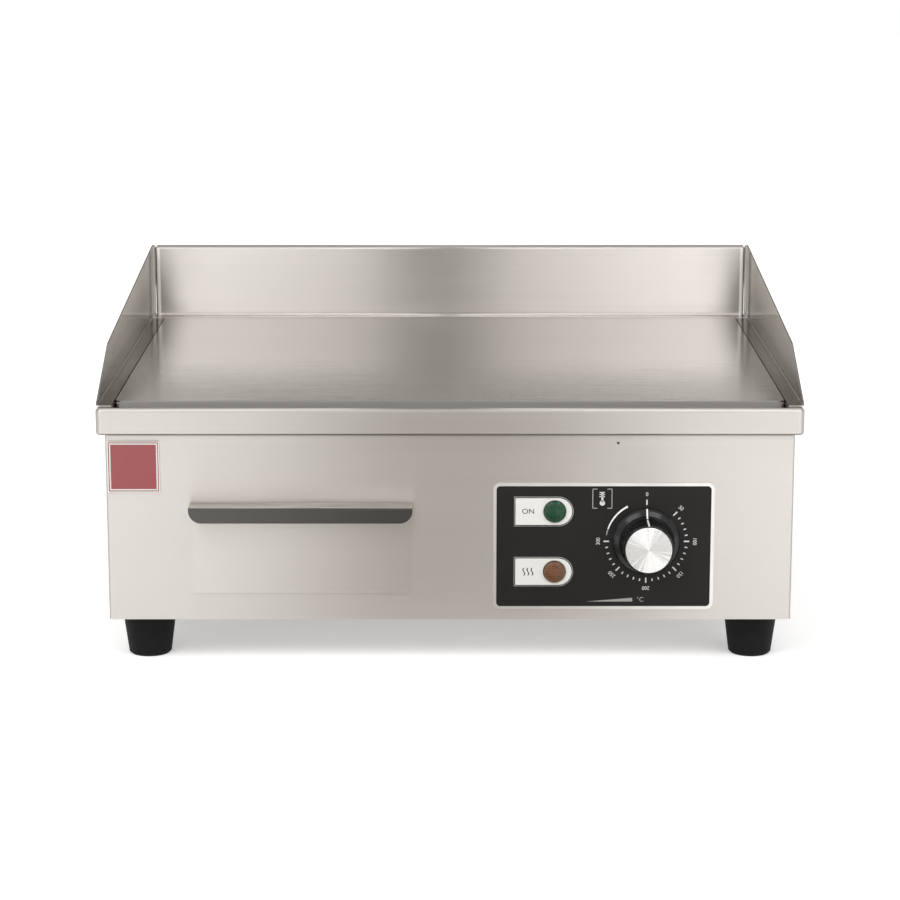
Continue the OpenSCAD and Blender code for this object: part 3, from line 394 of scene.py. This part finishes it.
def spunPattern(centre):
    # turned face: fine concentric tool marks, slightly uneven, with the two fans of light they throw painted
    # into the colour as highlights
    def pattern(w):
        flat = w.place((1, 0, 1), centre)
        radius = w.node("VectorMath", {"operation": "LENGTH"}, {0: flat}, "Value")
        rings = w.maths("SINE", radius * (2 * math.pi / 0.00022))
        uneven = w.node("TexNoise", {"noise_dimensions": "1D"}, {"W": radius * 5200, "Detail": 3.0})
        apart = w.node("SeparateXYZ", None, {"Vector": flat}, "X")
        above = w.node("SeparateXYZ", None, {"Vector": flat}, "Z")
        angle = w.maths("ARCTAN2", apart, above)
        # painted highlight: two bright fans by angle round the cap's axis
        fans = w.maths("COSINE", angle * 2 + 0.55)
        rays = w.node("TexNoise", {"noise_dimensions": "1D"}, {"W": angle * 1.6, "Detail": 2.0})
        paintedHighlight = (fans * 0.5 + (rays - 0.5) * 1.6).between(-0.35, 0.55)
        return {
            "Base Color": (paintedHighlight * 0.8 + uneven * 0.2).blend(rgb(0.60, 0.595, 0.575), rgb(0.95, 0.945, 0.93)),
            "Roughness": uneven * 0.12 + 0.18,
            "Normal": w.bump(rings * 0.3 + uneven, 0.00003, 0.9),
        }
    return pattern


capLow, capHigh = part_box("knob_cap")
dialCentre = (capLow + capHigh) / 2
capMetal = newFinish("spun cap metal", {"Metallic": 1.0}, spunPattern(dialCentre))

lensCentre = {}
for lens in ("power_lens", "heat_lens"):
    low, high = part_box(lens)
    lensCentre[lens] = (low + high) / 2
lensGreen = lensFinish("green lamp lens", rgb(0.002, 0.017, 0.007), rgb(0.007, 0.056, 0.023),
                       lensCentre["power_lens"])
lensAmber = lensFinish("amber lamp lens", rgb(0.054, 0.020, 0.008), rgb(0.148, 0.064, 0.029),
                       lensCentre["heat_lens"])
print("finishes made:", len(bpy.data.materials))

finishOf = {
    "griddle_plate": plateSteel, "front_rail": railSteel, "rear_rail": rearRailSteel,
    "gutter_floor": gutterSteel, "front_seat": gutterSteel,
    "left_rail": sideRailSteel, "right_rail": sideRailSteel, "back_splash": deckSteel,
    "left_guard": guardSteel, "right_guard": guardSteel, "drain_spout": millSteel,
    "body_shell": bodySteel, "rear_panel": rearSteel, "base_tray": millSteel,
    "foot_front_left": footRubber, "foot_front_right": footRubber,
    "foot_rear_left": footRubber, "foot_rear_right": footRubber,
    "foot_bolts": zincPlate, "foot_nuts": zincPlate,
    "heating_elements": elementSheath, "element_terminals": ceramicWhite,
    "clamp_bars": millSteel, "clamp_studs": zincPlate, "clamp_nuts": zincPlate,
    "insulation": mineralWool, "heat_shield": millSteel,
    "thermostat_body": darkMoulding, "thermostat_shaft": zincPlate,
    "thermostat_bulb": copperDrawn, "capillary_tube": copperDrawn, "bulb_clips": zincPlate,
    "terminal_block": ceramicWhite, "control_panel": panelBlack, "panel_trim": trimMetal,
    "power_tag": tagSatin, "heat_tag": tagSatin,
    "power_lamp_body": darkMoulding, "heat_lamp_body": darkMoulding,
    "power_lens": lensGreen, "heat_lens": lensAmber, "lamp_clips": zincPlate,
    "knob_body": knobBlack, "knob_cap": capMetal,
    "drawer_box": millSteel, "drawer_front": drawerSteel,
    "drawer_runner_left": millSteel, "drawer_runner_right": millSteel,
    "badge_plate": badgeRed, "cable_gland": glandNylon, "gland_nut": glandNylon,
    "bonding_stud": brassTurned, "bonding_nuts": brassTurned,
}
for name, finish in finishOf.items():
    piece = nodes[name]
    piece.data.materials.clear()
    piece.data.materials.append(finish)
print("finishes on CAD nodes:", len(finishOf))


def addPiece(name, bm, finish, body, smooth=None):
    mesh = bpy.data.meshes.new(name)
    bmesh.ops.remove_doubles(bm, verts=bm.verts[:], dist=1e-7)
    bmesh.ops.recalc_face_normals(bm, faces=bm.faces[:])
    bm.to_mesh(mesh)
    bm.free()
    piece = bpy.data.objects.new(name, mesh)
    bpy.context.scene.collection.objects.link(piece)
    mesh.materials.append(finish)
    if smooth is not None:
        mesh.shade_smooth()
        mesh.set_sharp_from_angle(angle=math.radians(smooth))
    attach(piece, body)


def frontFace(x, y, z):
    # X right, Y up, Z out of the front
    return Matrix.Translation((x, y, z)) @ Matrix.Rotation(math.pi / 2, 4, "X")


def addBar(bm, place, length, width, height):
    # flat bar, long along its own Y
    bmesh.ops.create_cube(bm, size=1.0, matrix=place @ Matrix.Diagonal((width, length, height, 1)))


inkHeight = 0.00006  # thickness of a printed bar, half of it sunk in its face
inkLift = inkHeight / 2


def addWords(name, words, height, place, finish, body="housing", stretch=1.0):
    curve = bpy.data.curves.new(name + "-curve", "FONT")
    curve.body = words
    curve.align_x = "CENTER"
    curve.align_y = "CENTER"
    curve.size = height / 0.7  # a capital stands 0.7 of the font's size
    curve.extrude = inkLift
    curve.resolution_u = 6
    draft = bpy.data.objects.new(name + "-draft", curve)
    mesh = bpy.data.meshes.new_from_object(draft)
    bpy.data.objects.remove(draft)
    mesh.transform(place @ Matrix.Diagonal((stretch, 1, 1, 1)))
    mesh.name = name
    mesh.materials.clear()
    mesh.materials.append(finish)
    piece = bpy.data.objects.new(name, mesh)
    bpy.context.scene.collection.objects.link(piece)
    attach(piece, body)


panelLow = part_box("control_panel")[0]
tagLow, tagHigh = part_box("power_tag")
heatLow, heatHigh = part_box("heat_tag")
dialX, dialZ = dialCentre.x, dialCentre.z

dial = {
    "tickRadius": 0.0315, "majorLength": 0.0042, "majorWidth": 0.0011,
    "minorLength": 0.0021, "minorWidth": 0.0009, "minorsBetween": 4,
    "numberRadius": 0.0378, "numberHeight": 0.0030, "numberStretch": 0.95,
    "step": 50, "top": 300, "sweep": 270,
    "arcFrom": 288, "arcTo": 332, "arcRadius": 0.0318, "arcWidth": 0.0015, "arcThin": 0.0010,
    "tailFrom": 279, "tailTo": 287, "tailThin": 0.0006,
}


def dialPlace(angle, radius, lift=0.0):
    # angle clockwise from the top of the dial
    turn = math.radians(angle)
    spot = frontFace(dialX + radius * math.sin(turn), panelLow.y - lift, dialZ + radius * math.cos(turn))
    return spot @ Matrix.Rotation(-turn, 4, "Z")


bm = bmesh.new()
marks = [(value, dial["sweep"] * value / dial["top"]) for value in range(0, dial["top"] + 1, dial["step"])]
for value, angle in marks:
    addBar(bm, dialPlace(angle, dial["tickRadius"]), dial["majorLength"], dial["majorWidth"], inkHeight)
angles = [angle for value, angle in marks]
for angle, nextAngle in zip(angles[1:], angles[2:]):  # no short ticks below the first step
    for k in range(1, dial["minorsBetween"] + 1):
        at = angle + (nextAngle - angle) * k / (dial["minorsBetween"] + 1)
        addBar(bm, dialPlace(at, dial["tickRadius"]), dial["minorLength"], dial["minorWidth"], inkHeight)
addPiece("dial_scale", bm, whiteInk, "housing")

for value, angle in marks:
    addWords(f"dial_number_{value}", str(value), dial["numberHeight"],
             dialPlace(angle, dial["numberRadius"], inkHeight), whiteInk,
             stretch=dial["numberStretch"])


def arcBand(name, start, end, radius, widthStart, widthEnd, finish):
    # a printed band round the dial: its two edges, bridged
    bm = bmesh.new()
    steps = 24
    edges = []
    for side in (-0.5, 0.5):
        line = []
        for k in range(steps + 1):
            share = k / steps
            width = widthStart + (widthEnd - widthStart) * share
            angle = math.radians(start + (end - start) * share)
            r = radius + side * width
            line.append(bm.verts.new((dialX + r * math.sin(angle), panelLow.y - inkLift,
                                      dialZ + r * math.cos(angle))))
        edges += [bm.edges.new(pair) for pair in zip(line, line[1:])]
    bmesh.ops.bridge_loops(bm, edges=edges)
    bmesh.ops.solidify(bm, geom=bm.faces[:], thickness=inkLift)
    addPiece(name, bm, finish, "housing")


arcBand("dial_arc", dial["arcFrom"], dial["arcTo"], dial["arcRadius"],
        dial["arcThin"], dial["arcWidth"], brightInk)
arcBand("dial_arc_tail", dial["tailFrom"], dial["tailTo"], dial["arcRadius"],
        dial["tailThin"], dial["arcThin"], greyInk)

# thermometer sign: corner brackets, tube, bulb and three short bars
sign = {
    "x": 0.1191, "z": 0.1351, "width": 0.0150, "height": 0.0154, "line": 0.0007,
    "bracketAt": 0.38, "bracketShare": 0.24,
    "bulbRadius": 0.0021, "bulbDrop": 0.0035, "tubeLength": 0.0075, "tubeWidth": 0.0016, "tubeRise": 0.0010,
    "bars": 3, "barLength": 0.0042, "barLow": 0.0016, "barPitch": 0.0017, "barLeft": 0.0002,
}
bm = bmesh.new()
signPlace = frontFace(sign["x"], panelLow.y, sign["z"])
wide, tall, stroke = sign["width"], sign["height"], sign["line"]
for side in (-1, 1):
    addBar(bm, signPlace @ Matrix.Translation((side * wide / 2, 0, 0)), tall, stroke, inkHeight)
    for end in (-1, 1):
        spot = Matrix.Translation((side * wide * sign["bracketAt"], end * tall / 2, 0))
        addBar(bm, signPlace @ spot, stroke, wide * sign["bracketShare"], inkHeight)
addPiece("dial_sign_frame", bm, greyInk, "housing")
bm = bmesh.new()
bmesh.ops.create_cone(bm, cap_ends=True, segments=28, radius1=sign["bulbRadius"], radius2=sign["bulbRadius"],
                      depth=inkHeight, matrix=signPlace @ Matrix.Translation((0, -sign["bulbDrop"], 0)))
tubePlace = signPlace @ Matrix.Translation((0, sign["tubeRise"], 0))
addBar(bm, tubePlace, sign["tubeLength"], sign["tubeWidth"], inkHeight)
for k in range(sign["bars"]):
    spot = Matrix.Translation((-sign["barLeft"], sign["barLow"] + sign["barPitch"] * k, 0))
    addBar(bm, signPlace @ spot, stroke, sign["barLength"], inkHeight)
addPiece("dial_sign", bm, whiteInk, "housing")

# under the dial: a wedge that grows with the heat, and its unit
caption = {
    "x": 0.1075, "z": 0.0533, "length": 0.036, "height": 0.0030, "unitHeight": 0.0036, "unitGap": 0.0062,
}
bm = bmesh.new()
wedge = [bm.verts.new(point) for point in ((0, 0, 0), (caption["length"], 0, 0),
                                           (caption["length"], caption["height"], 0))]
bm.faces.new(wedge)
bm.normal_update()
bmesh.ops.solidify(bm, geom=bm.faces[:], thickness=-inkLift)
bmesh.ops.transform(bm, verts=bm.verts[:], matrix=frontFace(
    caption["x"], panelLow.y, caption["z"] - caption["height"] / 2))
addPiece("dial_wedge", bm, greyInk, "housing")
unitX = caption["x"] + caption["length"] + caption["unitGap"]
addWords("dial_unit", "\u00b0C", caption["unitHeight"], frontFace(unitX, panelLow.y - inkLift, caption["z"]),
         greyInk)

# signs on the lamp tags
tagSign = {"fromEnd": 0.0110, "height": 0.0040, "stretch": 1.1}
addWords("power_sign", "ON", tagSign["height"],
         frontFace(tagLow.x + tagSign["fromEnd"], tagLow.y - inkLift, (tagLow.z + tagHigh.z) / 2),
         blackInk, stretch=tagSign["stretch"])

# heat sign: three rising waves
waves = {"pitch": 0.0032, "height": 0.0062, "swing": 0.0007, "line": 0.0009, "steps": 14}
bm = bmesh.new()
wavePlace = frontFace(heatLow.x + tagSign["fromEnd"], heatLow.y, (heatLow.z + heatHigh.z) / 2)
for k in (-1, 0, 1):
    edges = []
    for side in (-0.5, 0.5):
        line = []
        for step in range(waves["steps"] + 1):
            share = step / waves["steps"]
            sway = k * waves["pitch"] + waves["swing"] * math.sin(2 * math.pi * share) + side * waves["line"]
            rise = (share - 0.5) * waves["height"]
            line.append(bm.verts.new(wavePlace @ Vector((sway, rise, inkLift / 2))))
        edges += [bm.edges.new(pair) for pair in zip(line, line[1:])]
    bmesh.ops.bridge_loops(bm, edges=edges)
bmesh.ops.solidify(bm, geom=bm.faces[:], thickness=inkLift / 2)
addPiece("heat_sign", bm, blackInk, "housing")

# lamp tags: a raised rim follows each tag's outline
tagRim = {"width": 0.0008, "lift": 0.00008, "inset": 0.0002}
for name, low, high in (("power_tag_rim", tagLow, tagHigh), ("heat_tag_rim", heatLow, heatHigh)):
    bm = bmesh.new()
    radius = (high.z - low.z) / 2 - tagRim["inset"]
    endX, midZ = high.x - (high.z - low.z) / 2, (low.z + high.z) / 2
    foot = bm.verts.new((endX, 0, midZ - radius))
    bmesh.ops.spin(bm, geom=[foot], cent=(endX, 0, midZ), axis=(0, -1, 0), dvec=(0, 0, 0),
                   angle=math.pi, steps=32, use_merge=False, use_duplicate=False)
    left = low.x + tagRim["inset"]
    arc = sorted(bm.verts, key=lambda v: v.co.z)
    ring = [bm.verts.new((left, 0, midZ - radius))] + arc + [bm.verts.new((left, 0, midZ + radius))]
    hole = [bm.faces.new(ring)]
    bm.normal_update()
    bmesh.ops.inset_region(bm, faces=hole, thickness=tagRim["width"], use_even_offset=True, use_boundary=True)
    bmesh.ops.delete(bm, geom=hole, context="FACES")
    bmesh.ops.solidify(bm, geom=bm.faces[:], thickness=tagRim["lift"])
    bmesh.ops.transform(bm, verts=bm.verts[:], matrix=Matrix.Translation((0, low.y, 0)))
    addPiece(name, bm, tagSatin, "housing")
print("dial and lamp prints made")


# lamp bezels: a dark turned ring round each lens, dark as painted shade for the gap at the lens's edge
bezel = {
    "inner": 0.00848, "outer": 0.0091, "height": 0.0006, "shoulder": 0.6, "lean": 0.0001, "soft": 0.0003,
    "segments": 72,
}


def turnedRing(bm, profile, place, segments):
    # profile of (radius, height) pairs, spun about the axis that leaves the front
    points = [bm.verts.new((r, 0, h)) for r, h in profile]
    edges = [bm.edges.new(pair) for pair in zip(points, points[1:] + points[:1])]
    bmesh.ops.spin(bm, geom=points + edges, cent=(0, 0, 0), axis=(0, 0, 1), dvec=(0, 0, 0),
                   angle=2 * math.pi, steps=segments, use_merge=True, use_duplicate=False)
    bmesh.ops.transform(bm, matrix=place, verts=bm.verts[:])


for lens, tagBox in (("power_lens", tagLow), ("heat_lens", heatLow)):
    centre = lensCentre[lens]
    bm = bmesh.new()
    inner, outer, tall = bezel["inner"], bezel["outer"], bezel["height"]
    profile = [(inner, 0), (outer, 0), (outer - bezel["lean"], tall * bezel["shoulder"]),
               (outer - bezel["soft"], tall), (inner, tall)]
    turnedRing(bm, profile, frontFace(centre.x, tagBox.y, centre.z), bezel["segments"])
    addPiece(lens.replace("lens", "bezel"), bm, darkMoulding, "housing", smooth=40)

# badge: raised silver edge and a fine inner frame line, field left bare
badgeLow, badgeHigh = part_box("badge_plate")
badge = {"edge": 0.0006, "line": 0.0011, "lineInset": 0.0014, "lift": 0.00015}


def frameLine(name, inset, width, lift, finish):
    bm = bmesh.new()
    centre = (badgeLow + badgeHigh) / 2
    half = (badgeHigh.x - badgeLow.x) / 2 - inset
    bmesh.ops.create_grid(bm, x_segments=1, y_segments=1, size=half,
                          matrix=frontFace(centre.x, badgeLow.y - lift, centre.z))
    hole = bm.faces[:]
    bmesh.ops.inset_region(bm, faces=hole, thickness=width, use_even_offset=True, use_boundary=True)
    bmesh.ops.delete(bm, geom=hole, context="FACES")
    bmesh.ops.solidify(bm, geom=bm.faces[:], thickness=-lift)
    addPiece(name, bm, finish, "housing")


frameLine("badge_edge", 0.0, badge["edge"], badge["lift"], trimMetal)
frameLine("badge_line", badge["lineInset"], badge["line"], badge["lift"] * 0.5, whiteInk)
print("bezels and badge made")

# knob pointer: paint laid in the grip's groove and down the skirt
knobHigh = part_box("knob_body")[1]
pointer = {
    "width": 0.0012, "gripTop": 0.0198, "lift": 0.00008, "paint": 0.0006,
    "fromCap": 0.0012, "fromPanel": 0.0085,
    "skirtLine": [(0.0265, 0.0014), (0.0250, 0.0032), (0.0218, 0.0055), (0.0200, 0.0080)],
}
bm = bmesh.new()
gripFront = capLow.y + pointer["fromCap"]
gripBack = knobHigh.y - pointer["fromPanel"]
gripTop = dialZ + pointer["gripTop"] - pointer["paint"]
addBar(bm, Matrix.Translation((dialX, (gripFront + gripBack) / 2, gripTop)),
       gripBack - gripFront, pointer["width"], pointer["paint"])
edges = []
for side in (-0.5, 0.5):
    line = [bm.verts.new((dialX + side * pointer["width"], knobHigh.y - out, dialZ + r + pointer["lift"]))
            for r, out in pointer["skirtLine"]]
    edges += [bm.edges.new(pair) for pair in zip(line, line[1:])]
bmesh.ops.bridge_loops(bm, edges=edges)
addPiece("knob_pointer", bm, brightInk, "knob")
print("knob pointer made")

# rear panel screws: hexagon washer heads round its edge
panelFront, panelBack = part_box("rear_panel")
screw = {
    "washer": 0.0055, "washerTaper": 0.0003, "washerHeight": 0.0010, "head": 0.0044, "headHeight": 0.0034,
    "soft": 0.0003, "fromSide": 0.0135, "fromFoot": 0.0120, "fromTop": 0.0160, "columns": 5,
    "turn": 0.35, "turnAlong": 1.1, "turnUp": 20, "sideTurn": 0.7,
}


def rearFace(x, z):
    # Z out of the back
    return Matrix.Translation((x, panelBack.y, z)) @ Matrix.Rotation(-math.pi / 2, 4, "X")


def addScrew(bm, place):
    low, high = screw["washerHeight"], screw["headHeight"]
    washerPlace = place @ Matrix.Translation((0, 0, low / 2))
    headPlace = place @ Matrix.Translation((0, 0, (high + low) / 2))
    bmesh.ops.create_cone(bm, cap_ends=True, segments=40, radius1=screw["washer"],
                          radius2=screw["washer"] - screw["washerTaper"], depth=low, matrix=washerPlace)
    made = bmesh.ops.create_cone(bm, cap_ends=True, segments=6, radius1=screw["head"], radius2=screw["head"],
                                 depth=high - low, matrix=headPlace)
    rim = dict.fromkeys(edge for vert in made["verts"] for edge in vert.link_edges)
    bmesh.ops.bevel(bm, geom=list(rim), affect="EDGES", offset=screw["soft"], segments=2, profile=0.5,
                    material=-1)


bm = bmesh.new()
half = panelBack.x - screw["fromSide"]
panelLevels = (panelFront.z + screw["fromFoot"], railFoot - screw["fromTop"])
for k in range(screw["columns"]):
    x = -half + 2 * half * k / (screw["columns"] - 1)
    for z in panelLevels:
        turn = screw["turn"] + screw["turnAlong"] * k + screw["turnUp"] * z  # no two heads stand alike
        addScrew(bm, rearFace(x, z) @ Matrix.Rotation(turn, 4, "Z"))
for x in (-half, half):
    addScrew(bm, rearFace(x, sum(panelLevels) / 2) @ Matrix.Rotation(screw["sideTurn"], 4, "Z"))
addPiece("rear_screws", bm, zincPlate, "housing", smooth=30)
print("rear screws made")

# the studio: a white floor and dome, cards and banks of light that the steel mirrors
studio = {
    "floorSize": 14.0, "floorTone": 0.78, "floorLift": 0.34, "floorFarLift": 0.70, "floorNear": 0.35,
    "floorFar": 1.5, "domeLevel": 0.60, "cardTint": (1.0, 0.95, 0.89),
    "bankPlace": (1.11, -1.9, 1.9), "bankAim": (0.12, 0.2, 0.2), "bankShift": -0.04, "bankSize": (1.3, 1.5),
    "bankLevel": 2.7, "bankTilt": 0.04,
}


def stageMaterial(name, build):
    material = bpy.data.materials.new(name)
    material.use_nodes = True
    material.node_tree.nodes.clear()
    start = Wire(material.node_tree)
    start.node("OutputMaterial", None, {"Surface": build(start)})
    return material


def seenWhite(w):
    # 1 on what the camera, a mirror or a clear piece looks at, so the backdrop shows white
    rays = [w.node("LightPath", None, None, name) for name in
            ("Is Camera Ray", "Is Glossy Ray", "Is Transmission Ray")]
    return w.maths("MAXIMUM", w.maths("MAXIMUM", rays[0], rays[1]), rays[2])


def floorShader(w):
    tone = studio["floorTone"]
    paint = w.node("BsdfDiffuse", None, {"Color": rgb(tone, tone, tone)})
    away = w.node("VectorMath", {"operation": "LENGTH"}, {0: w.node("TexCoord", output="Object")}, "Value")
    farther = away.between(studio["floorNear"], studio["floorFar"])
    gain = farther * (studio["floorFarLift"] - studio["floorLift"]) + studio["floorLift"]
    lift = w.node("Emission", None, {"Color": rgb(1, 1, 1), "Strength": gain})
    both = w.node("AddShader", None, {0: paint, 1: lift})
    return w.node("MixShader", None, {0: seenWhite(w), 1: paint, 2: both})


floorMesh = bpy.data.meshes.new("floor")
bm = bmesh.new()
bmesh.ops.create_grid(bm, x_segments=1, y_segments=1, size=studio["floorSize"] / 2)
bm.to_mesh(floorMesh)
bm.free()
floor = bpy.data.objects.new("floor", floorMesh)
bpy.context.scene.collection.objects.link(floor)
floor.location.z = cadBounds[0].z
floorMesh.materials.append(stageMaterial("studio floor", floorShader))


def addCard(name, place, wide, tall, tone, core, edge, opacity):
    # a studio card seen only in reflections, dark in its middle and fading to nothing at its sides
    def cardShader(w):
        coords = w.node("TexCoord", output="Object")
        aside = w.maths("ABSOLUTE", w.node("SeparateXYZ", None, {"Vector": coords}, "X"))
        shown = (1 - aside.between(core, edge)) * opacity
        clear = w.node("BsdfTransparent")
        colour = rgb(*(tone * share for share in studio["cardTint"]))
        dark = w.node("Emission", None, {"Color": colour, "Strength": 1.0})
        return w.node("MixShader", None, {0: shown, 1: clear, 2: dark})
    mesh = bpy.data.meshes.new(name)
    bm = bmesh.new()
    bmesh.ops.create_grid(bm, x_segments=1, y_segments=1, size=0.5,
                          matrix=Matrix.Diagonal((wide, tall, 1, 1)))
    bm.to_mesh(mesh)
    bm.free()
    mesh.materials.append(stageMaterial(name, cardShader))
    card = bpy.data.objects.new(name, mesh)
    bpy.context.scene.collection.objects.link(card)
    card.matrix_world = place
    for kind in ("camera", "diffuse", "shadow", "transmission", "volume_scatter"):
        setattr(card, "visible_" + kind, False)


upright, flat = Matrix.Rotation(math.pi / 2, 4, "X"), Matrix.Identity(4)
cards = {  # place, turn, width, height, tone, where its fade starts and ends from its middle, cover
    "front_card": ((0.02, -2.6, 1.6), upright, 1.6, 4.0, 0.57, 0.03, 0.32, 1.0),
    "splash_card": ((-0.016, -0.205, 0.56), upright, 0.4, 0.7, 0.05, 0.02, 0.090, 0.78),
    "floor_card": ((0.01, -1.65, 0.004), flat, 1.0, 2.8, 0.49, 0.03, 0.25, 1.0),
    "back_card": ((0.0, 1.8, 1.0), upright, 5.0, 2.0, 0.52, 1.8, 2.4, 1.0),
    "back_band": ((-0.07, 1.7, 0.9), upright, 1.6, 1.8, 0.37, 0.06, 0.55, 1.0),
}
for name, (place, turn, *shape) in cards.items():
    addCard(name, Matrix.Translation(place) @ turn, *shape)

world = bpy.data.worlds.new("studio")
bpy.context.scene.world = world
world.use_nodes = True
world.node_tree.nodes.clear()
sky = Wire(world.node_tree)
level = studio["domeLevel"]
plain = sky.node("Background", None, {"Color": rgb(1, 1, 1), "Strength": level})
white = sky.node("Background", None, {"Color": rgb(1, 1, 1), "Strength": 1.0})
dome = sky.node("MixShader", None, {0: seenWhite(sky), 1: plain, 2: white})
sky.node("OutputWorld", None, {"Surface": dome})


def addSoftbox(name, place, aim, size, power, glossy=False):
    light = bpy.data.lights.new(name, "AREA")
    light.shape = "RECTANGLE"
    light.size, light.size_y = size
    light.energy = power
    lamp = bpy.data.objects.new(name, light)
    bpy.context.scene.collection.objects.link(lamp)
    lamp.location = place
    lamp.rotation_euler = (Vector(aim) - Vector(place)).to_track_quat("-Z", "Y").to_euler()
    lamp.visible_glossy = glossy


softboxes = {  # place, aim, size, power
    "key_light": ((-1.5, -2.0, 2.0), (0, 0, 0.15), (1.4, 1.0), 30.0),
    "fill_light": ((1.9, -1.6, 1.3), (0, 0, 0.15), (1.2, 1.2), 14.0),
    "top_light": ((0, 0.4, 2.4), (0, 0, 0.2), (1.8, 1.2), 10.0),
}
for name, box in softboxes.items():
    addSoftbox(name, *box)
wide, tall = studio["bankSize"]
for name, side in (("bank_left", -1), ("bank_right", 1)):
    # the two banks that the steel mirrors, each at an even level over its face
    out, depth, high = studio["bankPlace"]
    aimOut, aimDepth, aimHigh = studio["bankAim"]
    power = math.pi * wide * tall * studio["bankLevel"] * (1 + studio["bankTilt"] * side)
    addSoftbox(name, (side * out + studio["bankShift"], depth, high), (side * aimOut, aimDepth, aimHigh),
               (wide, tall), power, True)

view = {"place": (0.0, -2.302, 0.6345), "downward": 12.42, "lens": 110.0, "sensor": 36.0, "reach": 60.0}
camera = bpy.data.cameras.new("camera")
camera.lens = view["lens"]
camera.sensor_width = view["sensor"]
camera.clip_end = view["reach"]
cameraRig = bpy.data.objects.new("camera", camera)
bpy.context.scene.collection.objects.link(cameraRig)
cameraRig.location = view["place"]
cameraRig.rotation_euler = (math.radians(90 - view["downward"]), 0, 0)
bpy.context.scene.camera = cameraRig
bpy.context.scene.view_settings.view_transform = "Standard"
print("studio made")
